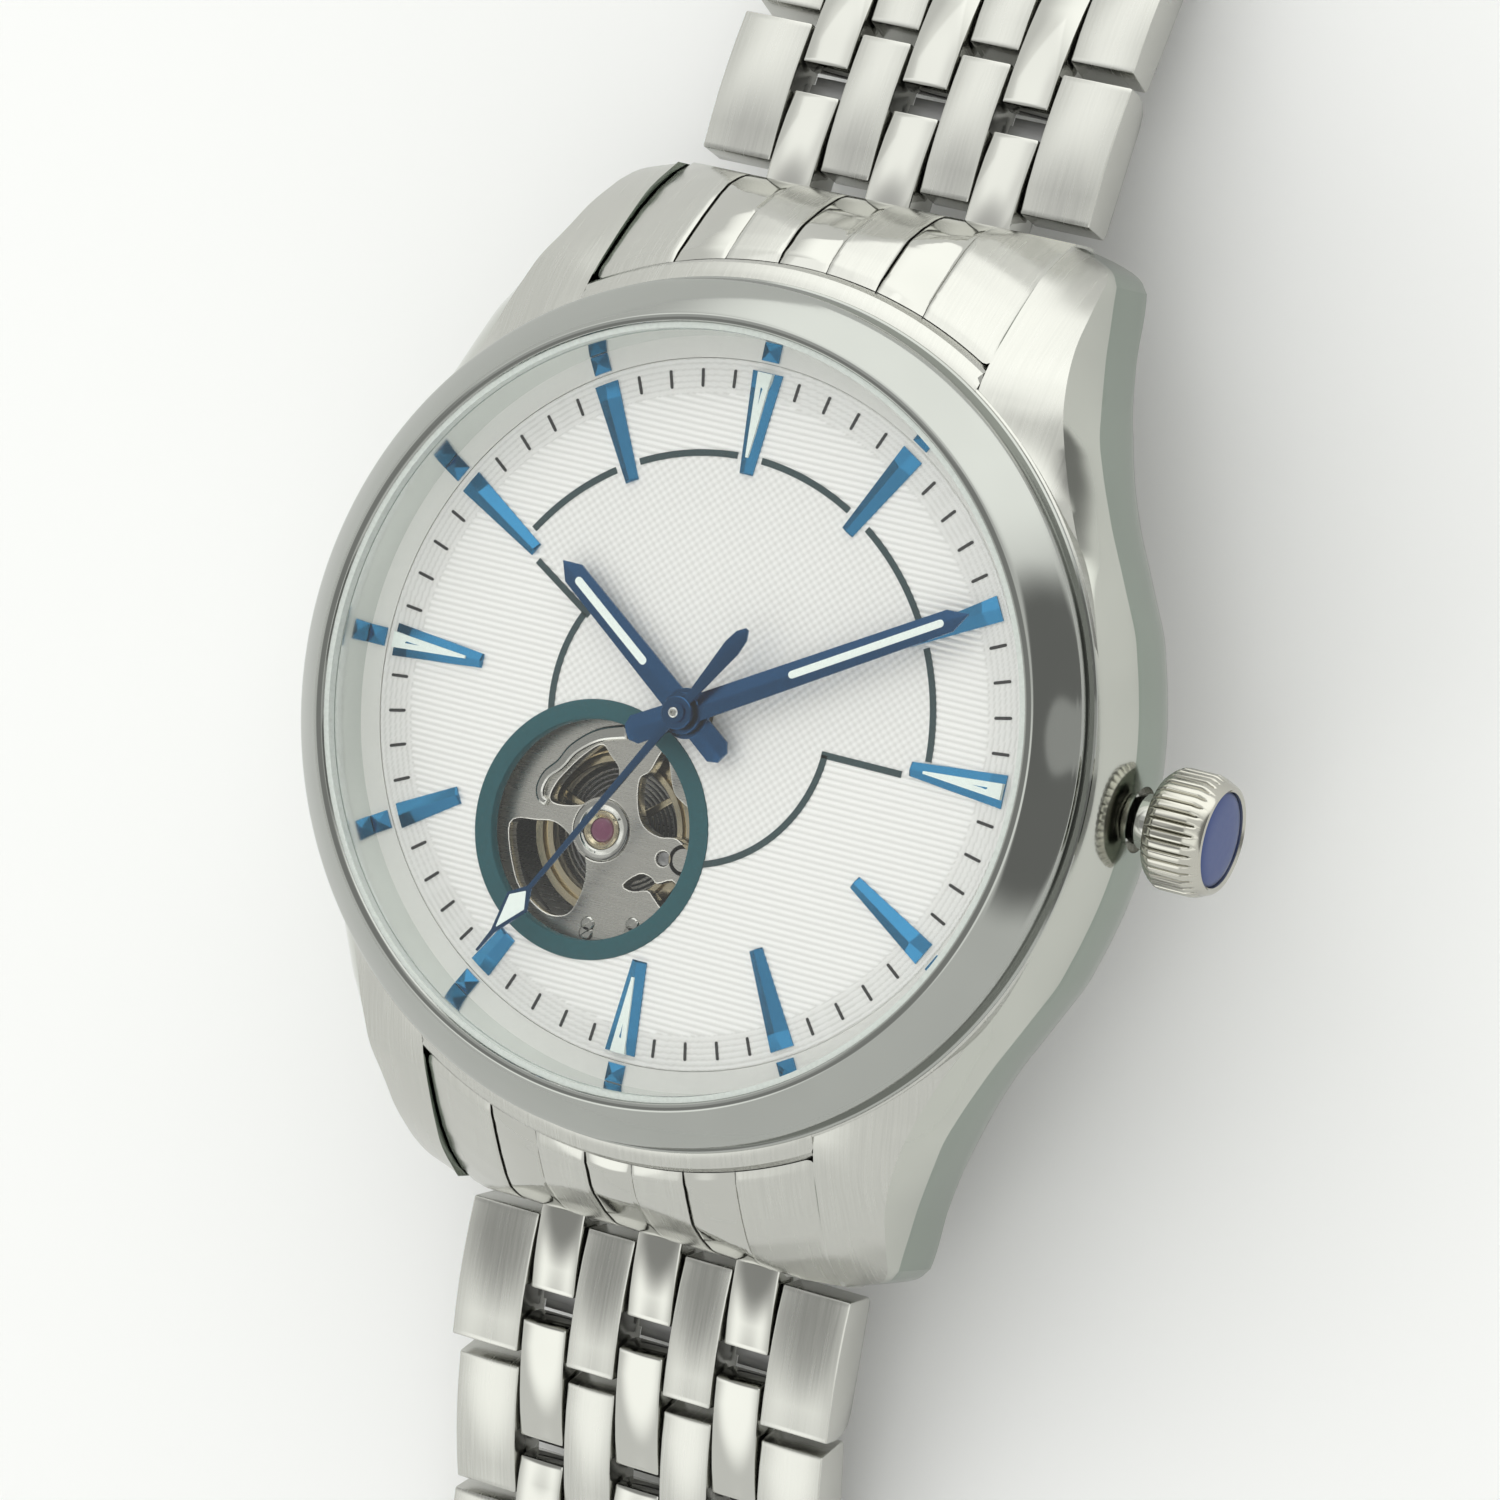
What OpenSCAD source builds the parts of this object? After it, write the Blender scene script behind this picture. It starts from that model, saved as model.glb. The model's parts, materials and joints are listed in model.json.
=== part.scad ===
// Open-heart automatic wristwatch on a seven-column steel bracelet.
// Millimetres. The origin is the centre of the case-back face: +Z towards the crystal,
// +Y towards 12 o'clock and +X towards the crown. The bracelet is unbuckled and laid out.

/* [Case] */
// Radius of the case band
case_r = 20.5; // [20.4:0.1:20.6]
// Height of the dial's top face above the case-back face
dial_z = 10.3; // [10.3:0.1:10.6]
// Distance between the lugs, which is the width of an end link
lug_gap = 20.1; // [20.05:0.05:20.2]
// Radius of the bezel's outer edge
bezel_r = 19.3; // [19.2:0.1:19.4]

/* [Dial] */
// Radius of the dial plate
dial_r = 15.88; // [15.8:0.02:15.9]
// Place of the open-heart window, across and up
heart = [-3.8, -6.15];
// Inner radius of the open-heart ring
heart_in_r = 4.95; // [4.8:0.05:5.0]
// Outer radius of the open-heart ring
heart_out_r = 5.85; // [5.8:0.05:5.9]

/* [Hands] */
// Length of the hour hand
hour_len = 9.3; // [8.5:0.1:9.8]
// Length of the minute hand
minute_len = 14.5; // [13.5:0.1:14.5]
// Length of the seconds hand
seconds_len = 14.5; // [13.5:0.1:14.8]
// Angle of the hour hand, clockwise from 12 o'clock
hour_angle = 305; // [0:1:359]
// Angle of the minute hand, clockwise from 12 o'clock
minute_angle = 60; // [0:1:359]
// Angle of the seconds hand, clockwise from 12 o'clock
seconds_angle = 210; // [0:1:359]

/* [Bracelet] */
// Distance from one row's hinge pin to the next
pitch = 7.3; // [7.2:0.1:7.4]
// Thickness of a link
link_t = 2.4; // [2.3:0.1:2.5]
// Width of the first row at 12 and at 6 o'clock
first_row_w = 19.8; // [19.6:0.1:19.8]
// Width of the other rows
row_w = 19.2; // [19:0.1:19.4]

/* [Crown] */
// Radius of the fluted crown
crown_r = 2.75; // [2.6:0.05:2.8]
// Number of flutes round the crown
flutes = 36; // [30:1:40]

/* [Hidden] */
$fn = 96;
round_fn = 160;

// Colours
steel = [0.74, 0.75, 0.73];
bright = [0.85, 0.86, 0.85];
dial_white = [0.92, 0.92, 0.90];
blued = [0.16, 0.32, 0.52];
teal = [0.25, 0.42, 0.44];
lume = [0.90, 0.95, 0.92];
brass = [0.82, 0.72, 0.45];
ruby = [0.50, 0.20, 0.35];
glassy = [0.85, 0.92, 0.95, 0.35];
rubber_black = [0.12, 0.12, 0.13];

// Clearances: a running fit, a press fit and the gap between neighbouring columns of links
run = 0.05;
press = 0.01;
column_gap = 0.15;

// ---- Heights, measured from the dial's top face ----
crystal_low = 2.42;
crystal_edge_top = 2.88;
crystal_rise = 0.3;
bezel_lip_z = 2.97;
bezel_edge_z = 1.32;
case_seat_z = 0.2;
band_top_z = -1.7;
band_low_z = -5;
case_low_z = -8.8;
back_z = -dial_z;
plate_top = -1.0;
plate_low = -2.1;
bridge_top = -5.5;
bridge_low = -6.2;
auto_low = -6.75;
rotor_top = -6.95;
rotor_low = -8.1;
stem_z = -3.8;

// ---- Radii ----
crystal_r = 17.0;
gasket_r = 17.25;
rehaut_r = 16.95;
bore_r = 17.4;
back_r = 18.2;
window_r = 13.4;
movement_r = 13.2;

// ---- Axes of the movement, seen from above ----
third_at = [3.70, 3.65];
centre_at = [-0.50, 6.15];
barrel_at = [-5.57, 3.80];
escape_at = [2.40, -4.40];
fork_at = [0.50, -6.55];
minute_wheel_at = [2.60, 1.50];
mesh_gap = 0.02;

// Distance between two points
function apart(a, b) = norm(a - b);
// Tip radius of a wheel of n teeth that meets one of m teeth at a given distance of axes
function tip_r(n, m, distance) = distance * n / (n + m) - mesh_gap;
// Outline of a toothed wheel with straight-sided teeth
function tooth_points(n, tip, depth) = [for (i = [0 : n - 1]) for (k = [0 : 3])
    let (step = 360 / n, at = [-0.32, -0.14, 0.14, 0.32][k], r = (k == 1 || k == 2) ? tip : tip - depth)
    [r * cos((i + at) * step), r * sin((i + at) * step)]];

// ---- Small helpers; every height is measured from the dial's top face ----
module lift(z) { translate([0, 0, dial_z + z]) children(); }
module slab(z0, z1) { lift(min(z0, z1)) linear_extrude(abs(z1 - z0)) children(); }
module disc(r, z0, z1) { slab(z0, z1) circle(r = r); }
module ring(r0, r1, z0, z1) { slab(z0, z1) difference() { circle(r = r1); circle(r = r0); } }
module at(p) { translate([p.x, p.y, 0]) children(); }
module turned(points) { lift(0) rotate_extrude($fn = round_fn) polygon(points); }
module toothed(n, tip, depth, z0, z1, bore = 0.1) {
    slab(z0, z1) difference() { polygon(tooth_points(n, tip, depth)); circle(r = bore); }
}
module spoked_wheel(n, tip, depth, z0, z1, spokes, rim, hub) {
    slab(z0, z1) {
        difference() { polygon(tooth_points(n, tip, depth)); circle(r = tip - depth - rim); }
        circle(r = hub);
        for (i = [0 : spokes - 1]) rotate(360 * i / spokes) translate([0, -rim * 0.4])
            square([tip - depth - rim * 0.5, rim * 0.8]);
    }
}

// ================= Case =================

lug_out_tilt = 15;
lug_top = [[12, 0.6], [16, 0.1], [18.2, -0.78], [19.5, -1.75], [20.7, -2.8], [22.45, -4.4],
    [23.4, -5.7], [23.87, -6.7]];
lug_side = [[10, 1], [24, 1], [23.95, -7.4], [23.7, -9.6], [23.1, -dial_z], [22.4, -dial_z],
    [19.6, -8.6], [17.6, -7.7], [14.5, -7.2], [10, -7.2]];
lug_plan = [[0, 24], [11.4, 23.5], [12.35, 22.75], [12.95, 21.3], [13.9, 18.5], [14.75, 16.9], [15.5, 15.2],
    [16.1, 13.8], [16.85, 12.0], [17.45, 10.85], [18.15, 9.4], [18.9, 7.8], [19.6, 5.9], [12, 5.9], [12, 12],
    [0, 14]];
// The flat that joins a lug's top to its flank: how far it faces up, how far it is turned from the
// crown's line towards 12 o'clock, and its distance from the centre of the dial's top
facet_rise = 36.7;
facet_turn = 29.5;
facet_at = 15.25;

// The profile of the case, turned about the watch's axis
case_profile = [[bore_r, case_seat_z], [19.02, case_seat_z], [19.08, 0.33], [19.4, 0.33], [19.75, 0.05],
    [20.1, -0.55], [20.3, -1.15], [20.42, band_top_z], [case_r, band_top_z - 1.2], [20.42, band_low_z],
    [19.9, -6.0], [18.9, -7.6], [18.4, case_low_z], [bore_r, case_low_z]];

// One of the four lugs: its sloping top, its outlines from above and from the side, and its flat
module lug() {
    intersection() {
        translate([lug_gap / 2, 0, dial_z]) rotate([0, lug_out_tilt, 0]) translate([-9, 0, 0])
            rotate([90, 0, 90]) linear_extrude(22) polygon(concat([for (p = lug_top)
                [p.x, p.y * cos(lug_out_tilt)]], [[23.87, -14], [12, -14]]));
        lift(-12) linear_extrude(13) polygon(lug_plan);
        translate([lug_gap / 2, 0, dial_z]) rotate([90, 0, 90]) linear_extrude(12) polygon(lug_side);
        lift(0) rotate([0, -facet_rise, facet_turn]) translate([facet_at - 60, -30, -30]) cube(60);
    }
}

// Every lug by mirror image
module four_lugs() { for (a = [0, 1]) for (b = [0, 1]) mirror([a, 0, 0]) mirror([0, b, 0]) children(); }

crown_recess_r = 3.05;
crown_recess_x = 19.9;
tube_r = 1.1;

// Middle case: band, lugs, movement cavity, crown recess and spring-bar holes
module case_middle() {
    color(steel) difference() {
        union() {
            turned(case_profile);
            difference() { four_lugs() lug(); lift(-11) cylinder(r = bore_r + 0.8, h = 13); }
        }
        lift(stem_z) rotate([0, 90, 0]) {
            translate([0, 0, 15]) cylinder(r = tube_r + press, h = 8);
            translate([0, 0, crown_recess_x]) cylinder(r = crown_recess_r, h = 4);
        }
        for (s = [-1, 1]) for (m = [-1, 1]) translate([m * (lug_gap / 2 - 0.2), s * bar_y, bar_z(s)])
            rotate([0, m * 90, 0]) cylinder(r = bar_tip_r + run, h = 1.3);
    }
}

// Bezel: a polished cone that holds the crystal
module bezel() {
    color(bright) turned([[gasket_r, 0.22], [gasket_r, 2.9], [17.45, bezel_lip_z], [17.6, bezel_lip_z],
        [bezel_r, bezel_edge_z], [bezel_r, 0.95], [19.0, 0.6], [19.0, 0.22]]);
}

// Crystal: slightly domed glass
module crystal() {
    dome = [for (i = [0 : 10]) let (r = (crystal_r - 0.15) * i / 10)
        [r, crystal_edge_top + crystal_rise * (1 - pow(r / crystal_r, 2))]];
    color(glassy) turned(concat(dome, [[crystal_r, crystal_edge_top - 0.1], [crystal_r, crystal_low],
        [0, crystal_low]]));
}

// Seal between the crystal and the bezel
module crystal_gasket() { color(rubber_black) ring(crystal_r, gasket_r, crystal_low - 0.1, 2.84); }

// Flange: the wall between the dial and the crystal, with a flat foot round the dial
module flange_ring() {
    color(dial_white) turned([[dial_r + 0.02, -0.4], [dial_r + 0.02, 0.05], [rehaut_r - 0.08, 0.05],
        [rehaut_r, 2.3], [17.2, 2.3], [17.2, -0.4]]);
}

stud_mid_r = 16.47;
stud_w = 0.84;
stud_edge = 0.12;
stud_high = 0.4;
// Twelve small pyramids on the flange's foot
module flange_studs() {
    color(blued) for (h = [0 : 11]) rotate(30 * h) translate([stud_mid_r, 0, dial_z + 0.05])
        stud();
}
// A four-sided pyramid, cut from a bar by two roofs
module stud() {
    intersection() {
        translate([0, stud_w / 2, 0]) rotate([90, 0, 0]) linear_extrude(stud_w)
            roof_section(stud_w, stud_edge, stud_high);
        translate([-stud_w / 2, 0, 0]) rotate([90, 0, 90]) linear_extrude(stud_w)
            roof_section(stud_w, stud_edge, stud_high);
    }
}
module roof_section(w, low, high) {
    polygon([[-w / 2, 0], [w / 2, 0], [w / 2, low], [0, high], [-w / 2, low]]);
}

dial_t = 0.4;
ring_foot_w = 0.25;
// Dial plate with its centre hole and open-heart window
module dial() {
    color(dial_white) slab(-dial_t, 0) difference() {
        circle(r = dial_r, $fn = round_fn);
        circle(r = 0.95);
        translate(heart) circle(r = heart_in_r + ring_foot_w + press);
    }
}

// Ring round the open-heart window
module open_heart_ring() {
    foot_r = heart_in_r + ring_foot_w;
    color(teal) lift(0) translate(heart) rotate_extrude() polygon([[heart_in_r, -dial_t], [foot_r, -dial_t],
        [foot_r, 0.005], [heart_out_r, 0.005], [heart_out_r, 0.12], [heart_in_r + 0.08, 0.18],
        [heart_in_r, 0.12]]);
}

marker_out_r = 15.5;
marker_in_r = 10.9;
marker_in_w = 0.64;
marker_high = 0.42;
// Inner end of each applied marker: 6, 7 and 8 o'clock make room for the window
function marker_start(h) = h == 6 ? 12 - 0.72 : h == 7 ? 13.5 : h == 8 ? 12.3 : marker_in_r;
function marker_width(h, r) = let (wide = h % 3 == 0 ? 1.5 : 1.15)
    marker_in_w + (wide - marker_in_w) * (r - marker_in_r) / (marker_out_r - marker_in_r);
// Twelve applied wedge markers with a roof-shaped top
module hour_markers() {
    color(blued) for (h = [1 : 12]) rotate(-30 * h) marker(marker_start(h), h);
}
module marker(start, h) {
    w0 = marker_width(h, start);
    w1 = marker_width(h, marker_out_r);
    intersection() {
        slab(0.005, marker_high) polygon([[-w0 / 2, start], [w0 / 2, start], [w1 / 2, marker_out_r],
            [-w1 / 2, marker_out_r]]);
        translate([0, marker_out_r, dial_z]) rotate([90, 0, 0]) linear_extrude(marker_out_r - start)
            roof_section(w1, 0.22, marker_high);
    }
}

// ================= Movement =================

// Holder that centres the movement in the case
module movement_ring() {
    color([0.35, 0.36, 0.37]) difference() {
        ring(movement_r + 0.05, 17.15, -0.5, -7.2);
        lift(stem_z) rotate([0, 90, 0]) translate([0, 0, 12]) cylinder(r = 1.0, h = 8);
    }
}

plate_jewels = [third_at, centre_at, barrel_at, escape_at];
jewel_spots = concat(plate_jewels, [fork_at]);
auto_screw_spots = [[-5.5, -4.6], [5.5, -4.6], [0, 5.2]];
pillar_spots = [[11.6, -4.4], [-11.4, -4.6], [0.5, -12.2], [11.0, 5.6], [-8.6, 8.8], [4.0, 11.6]];
jewel_r = 0.74;
pivot_r = 0.15;

// Dial-side plate with a fixed centre post, pillars and a round opening over the balance
module main_plate() {
    color([0.80, 0.80, 0.77]) {
        difference() {
            disc(movement_r, plate_low, plate_top);
            at(heart) disc(heart_in_r + 0.25, plate_low - 1, plate_top + 1);
            for (p = plate_jewels) at(p) disc(jewel_r + press, plate_low - 1, plate_top + 1);
            disc(pivot_r + run, plate_low - 1, plate_top + 1);
        }
        ring(pivot_r + run, 0.36, plate_top, 1.2);
        for (p = pillar_spots) at(p) disc(0.7, bridge_top, plate_low);
        at(minute_wheel_at) disc(0.25, plate_top, -0.55);
    }
}

balance_jewel_r = 0.62;
setting_r = 1.41;
heart_bridge_low = -1.75;
// Bridge over the balance: a rim and three arms that carry the shock setting
module balance_bridge() {
    color([0.83, 0.83, 0.80]) at(heart) slab(heart_bridge_low, plate_top) difference() {
        circle(r = heart_in_r + 0.24);
        circle(r = setting_r + press);
        translate(fork_at - heart) circle(r = jewel_r + press);
        for (s = [[98, 160, 1.75], [190, 262, 1.75], [25, 72, 2.0]]) kidney(s[0], s[1], s[2], 4.55);
        rotate(-48) translate([3.5, 0]) circle(r = 0.72);
    }
}
// A sector of a ring between two angles and two radii
module kidney(a, b, r0, r1) {
    far = 2 * r1;
    intersection() {
        difference() {
            circle(r = r1);
            circle(r = r0);
        }
        polygon(concat([[0, 0]], [for (t = [a, (a + b) / 2, b]) far * [cos(t), sin(t)]]));
    }
}

// Lower bridge that carries the train and the balance's lower pivot
module train_bridge() {
    color([0.78, 0.78, 0.75]) difference() {
        disc(movement_r, bridge_low, bridge_top);
        for (p = concat(jewel_spots, [heart, [0, 0]])) at(p)
            disc(jewel_r + press, bridge_low - 1, bridge_top + 1);
        for (p = pillar_spots) at(p) disc(0.45, bridge_low - 1, bridge_top + 1);
    }
}

// Bridge of the automatic work, with the rotor's bearing post
module automatic_bridge() {
    color([0.81, 0.81, 0.78]) {
        slab(bridge_low - 0.02, auto_low) difference() {
            intersection() { circle(r = 11.6); translate([-12, -6.5]) square([24, 13]); }
            for (x = [-8.6, 8.6]) translate([x, 0]) circle(r = 1.7);
            for (p = auto_screw_spots) translate(p) circle(r = 0.45);
        }
        disc(rotor_post_r, rotor_low + 0.2, auto_low);
    }
}
rotor_post_r = 1.1;

// Bearing jewels in the plate and bridge, and the balance's shock jewel in its setting
module jewels() {
    color(ruby) {
        for (p = plate_jewels) at(p) ring(pivot_r + run, jewel_r, plate_low, plate_top);
        for (p = jewel_spots) at(p) ring(pivot_r + run, jewel_r, bridge_low, bridge_top);
        at(fork_at) ring(pivot_r + run, jewel_r, heart_bridge_low, plate_top);
        ring(pivot_r + run, jewel_r, bridge_low, bridge_top);
        at(heart) {
            ring(pivot_r + run, jewel_r, bridge_low, bridge_top);
            disc(balance_jewel_r, -1.45, -1.05);
        }
    }
    seat_r = balance_jewel_r + press;
    color(brass) at(heart) lift(0) rotate_extrude() polygon([[seat_r, -1.45], [seat_r, -1.02], [0.8, -0.86],
        [1.2, -0.9], [setting_r, -1.05], [setting_r, heart_bridge_low], [pivot_r + run, heart_bridge_low],
        [pivot_r + run, -1.5], [seat_r, -1.5]]);
}

screw_r = 0.75;
screw_shank_r = 0.44;
heart_screw_r = 0.36;
heart_screw_spots = [[0.35, -4.45], [2.55, -3.98]];
// Slotted screws of the bridges, and two small ones beside the balance
module movement_screws() {
    color([0.55, 0.58, 0.62]) {
        for (p = pillar_spots) at(p) screw(bridge_low, screw_shank_r);
        for (p = auto_screw_spots) at(p) screw(auto_low, screw_shank_r);
    }
    color(steel) at(heart) for (p = heart_screw_spots) at(p) slab(plate_top, plate_top + 0.12)
        difference() { circle(r = heart_screw_r); square([1, 0.1], center = true); }
}
module screw(head_z, shank_r) {
    slab(head_z - 0.18, head_z) difference() { circle(r = screw_r); square([2, 0.16], center = true); }
    disc(shank_r, head_z, head_z + 0.5);
}

// ================= Motion works and hands =================

post_r = 0.36;
cannon_r = 0.6;
hour_pipe_r = 0.86;

// Cannon pinion: turns on the centre post and carries the minute hand
module cannon_pinion() {
    color(brass) {
        ring(post_r + run, cannon_r, -0.95, 1.5);
        toothed(12, tip_r(12, 36, norm(minute_wheel_at)), 0.12, -0.95, -0.83, post_r + run);
    }
}
// Minute wheel with its pinion, between the cannon pinion and the hour wheel
module minute_wheel() {
    color(brass) at(minute_wheel_at) {
        toothed(36, tip_r(36, 12, norm(minute_wheel_at)), 0.14, -0.95, -0.83, 0.25 + run);
        toothed(10, tip_r(10, 40, norm(minute_wheel_at)), 0.12, -0.83, -0.6, 0.25 + run);
    }
}
// Hour wheel: its pipe turns on the cannon pinion and carries the hour hand
module hour_wheel() {
    color(brass) {
        toothed(40, tip_r(40, 10, norm(minute_wheel_at)), 0.14, -0.78, -0.6, cannon_r + run);
        ring(cannon_r + run, hour_pipe_r, -0.78, 0.98);
    }
}

// A baton hand lying along +Y with a pointed tip, a blunt tail and a hub
module baton(length, tip, half_w, tail, tail_half, hub_r, bore, z0, z1) {
    slab(z0, z1) difference() {
        union() {
            polygon([[-half_w, 0], [-half_w, length - tip], [0, length], [half_w, length - tip], [half_w, 0],
                [tail_half, -tail + 0.45], [0.25, -tail], [-0.25, -tail], [-tail_half, -tail + 0.45]]);
            circle(r = hub_r);
        }
        circle(r = bore);
    }
}
hour_hand_z = [0.74, 0.96];
minute_hand_z = [1.2, 1.4];
seconds_hand_z = [1.7, 1.84];
seconds_cap_z = 2.2;

module hour_hand() {
    color(blued) rotate(-hour_angle)
        baton(hour_len, 0.8, 0.58, 2.7, 0.66, 1.15, hour_pipe_r + press, hour_hand_z[0], hour_hand_z[1]);
}
module minute_hand() {
    color(blued) rotate(-minute_angle)
        baton(minute_len, 0.9, 0.53, 2.85, 0.68, 0.95, cannon_r + press, minute_hand_z[0], minute_hand_z[1]);
}
// Seconds hand with a kite near the tip, a leaf counterweight and a capped hub
module seconds_hand() {
    color(blued) rotate(-seconds_angle) {
        slab(seconds_hand_z[0], seconds_hand_z[1]) difference() {
            union() {
                polygon([[-0.17, 0], [-0.1, 10.6], [-0.65, 11.5], [-0.09, 13.3], [-0.05, seconds_len],
                    [0.05, seconds_len], [0.09, 13.3], [0.65, 11.5], [0.1, 10.6], [0.17, 0],
                    [0.42, -3.9], [0.2, -5], [-0.2, -5], [-0.42, -3.9]]);
                circle(r = 0.75);
            }
            circle(r = 0.24);
        }
        ring(0.24, 0.45, 1.55, 2.02);
        disc(0.24, seconds_cap_z - 0.3, seconds_cap_z);
    }
}

// ================= Going train =================

fourth_tip = tip_r(84, 7, norm(escape_at));
// Fourth wheel: its long arbor carries the seconds hand and its pinion is driven by the third wheel
module fourth_wheel() {
    color(brass) spoked_wheel(84, fourth_tip, 0.16, -4.45, -4.3, 4, 0.5, 0.8);
    color(steel) {
        toothed(10, tip_r(10, 75, norm(third_at)), 0.16, -5.1, -4.7);
        disc(0.4, -5.1, -4.2);
        disc(pivot_r, bridge_low + 0.1, 1.88);
    }
}
// Third wheel and its pinion
module third_wheel() {
    at(third_at) {
        color(brass) spoked_wheel(75, tip_r(75, 10, norm(third_at)), 0.16, -5.0, -4.85, 4, 0.45, 0.8);
        color(steel) {
            toothed(8, tip_r(8, 64, apart(third_at, centre_at)), 0.14, -4.25, -3.95);
            disc(0.22, -5.3, -2.3);
            disc(pivot_r, bridge_low + 0.1, plate_top - 0.1);
        }
    }
}
// Centre wheel and its pinion, driven by the barrel
module centre_wheel() {
    at(centre_at) {
        color(brass) spoked_wheel(64, tip_r(64, 8, apart(third_at, centre_at)), 0.16,
            -4.18, -4.0, 4, 0.45, 0.8);
        color(steel) {
            toothed(12, tip_r(12, 72, apart(centre_at, barrel_at)), 0.2, -3.7, -2.5);
            disc(0.2, -5.3, -2.3);
            disc(pivot_r, bridge_low + 0.1, plate_top - 0.1);
        }
    }
}
// Mainspring barrel: toothed drum with its lid and arbor
module mainspring_barrel() {
    tip = tip_r(72, 12, apart(centre_at, barrel_at));
    at(barrel_at) {
        color(brass) {
            toothed(72, tip, 0.28, -2.85, -2.5);
            disc(tip - 0.35, -3.9, -2.85);
        }
        color(steel) {
            disc(0.7, -5.3, -2.3);
            disc(pivot_r, bridge_low + 0.1, plate_top - 0.1);
        }
    }
}
escape_r = 1.9;
// Escape wheel with fifteen hooked teeth, and its pinion
module escape_wheel() {
    at(escape_at) color(steel) {
        slab(-3.75, -3.6) {
            difference() { circle(r = 1.45); circle(r = 1.1); }
            circle(r = 0.4);
            for (i = [0 : 3]) rotate(90 * i) translate([0, -0.12]) square([1.2, 0.24]);
            for (i = [0 : 14]) rotate(24 * i)
                polygon([[1.35, -0.16], [escape_r, 0.2], [escape_r - 0.05, 0.34], [1.35, 0.2]]);
        }
        toothed(7, tip_r(7, 84, norm(escape_at)), 0.1, -4.6, -4.15);
        disc(0.2, -5.3, -2.3);
        disc(pivot_r, bridge_low + 0.1, plate_top - 0.1);
    }
}
roller_r = 0.5;
fork_reach = apart(fork_at, heart);
// Pallet fork: two arms with pallet stones by the escape wheel and a notch by the balance's roller
module pallet_fork() {
    aim = atan2(heart.y - fork_at.y, heart.x - fork_at.x);
    at(fork_at) {
        color(steel) {
            rotate(aim) slab(-3.78, -3.6) {
                difference() {
                    translate([0, -0.14]) square([fork_reach - roller_r - 0.35, 0.28]);
                    translate([fork_reach - roller_r - 0.75, -0.07]) square([0.6, 0.14]);
                }
                rotate(128) translate([-0.1, -0.13]) square([1.15, 0.26]);
                rotate(-95) translate([-0.1, -0.13]) square([1.0, 0.26]);
                circle(r = 0.4);
            }
            disc(0.2, -5.3, -3.3);
            disc(pivot_r, bridge_low + 0.1, plate_top - 0.1);
        }
    }
}
balance_r = 4.0;
balance_rim = 0.9;
// Balance wheel: a smooth rim on three arms, with its staff and roller
module balance_wheel() {
    at(heart) {
        color([0.86, 0.80, 0.62]) slab(-3.05, -2.3) {
            difference() { circle(r = balance_r); circle(r = balance_r - balance_rim); }
            circle(r = 0.6);
            for (i = [0 : 2]) rotate(120 * i + 40) translate([0, -0.2]) square([balance_r - 0.4, 0.4]);
        }
        color(steel) {
            disc(staff_r, -5.3, -1.9);
            disc(pivot_r, bridge_low + 0.1, -1.52);
            disc(roller_r, -3.95, -3.5);
        }
    }
}
staff_r = 0.3;
coil_first_r = 0.9;
coil_last_r = 3.1;
coil_step = 0.35;
coil_w = 0.1;
// Hairspring: flat concentric coils joined to the balance staff by a collet
module hairspring() {
    color([0.42, 0.44, 0.47]) at(heart) slab(-3.4, -3.2) {
        for (r = [coil_first_r : coil_step : coil_last_r]) difference() {
            circle(r = r + coil_w / 2);
            circle(r = r - coil_w / 2);
        }
        difference() { circle(r = staff_r + 0.2); circle(r = staff_r + press); }
        translate([staff_r + 0.15, -coil_w / 2]) square([coil_last_r - staff_r - 0.2, coil_w]);
    }
}
rotor_r = 12.4;
rotor_rim_in = 9.2;
// Winding rotor: a half disc with a heavy rim on its bearing
module rotor() {
    color([0.72, 0.73, 0.72]) {
        slab(rotor_top - 0.35, rotor_top) difference() {
            union() {
                circle(r = 2.6);
                intersection() {
                    circle(r = rotor_r);
                    translate([-rotor_r, -rotor_r]) square([2 * rotor_r, rotor_r]);
                }
            }
            circle(r = rotor_post_r + run);
            for (a = [-125, -90, -55]) rotate(a) translate([5.6, 0]) circle(r = 1.1);
        }
        slab(rotor_low, rotor_top - 0.35) intersection() {
            difference() { circle(r = rotor_r); circle(r = rotor_rim_in); }
            translate([-rotor_r, -rotor_r]) square([2 * rotor_r, rotor_r]);
        }
    }
}

// ================= Crown =================

crown_x = [21.5, 24.45];
stem_r = 0.5;
seal_r = 0.8;
seal_x = [19.9, 20.7];
// Crown tube pressed in the case, with a collar outside it
module crown_tube() {
    color(steel) lift(stem_z) rotate([0, 90, 0]) difference() {
        union() {
            translate([0, 0, 17.6]) cylinder(r = tube_r, h = 3.7);
            translate([0, 0, 20.65]) cylinder(r = tube_r + 0.14, h = 0.65);
        }
        translate([0, 0, 17]) cylinder(r = stem_r + run, h = 5);
        translate([0, 0, seal_x[0] - 0.4]) cylinder(r = seal_r + run, h = 3);
    }
}
// Seal on the stem, inside the tube; it moves out and in with the crown but doesn't turn
module crown_gasket() {
    color(rubber_black) lift(stem_z) rotate([0, 90, 0]) translate([0, 0, seal_x[0]]) difference() {
        cylinder(r = seal_r, h = seal_x[1] - seal_x[0]);
        translate([0, 0, -1]) cylinder(r = stem_r + run, h = 3);
    }
}
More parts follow.
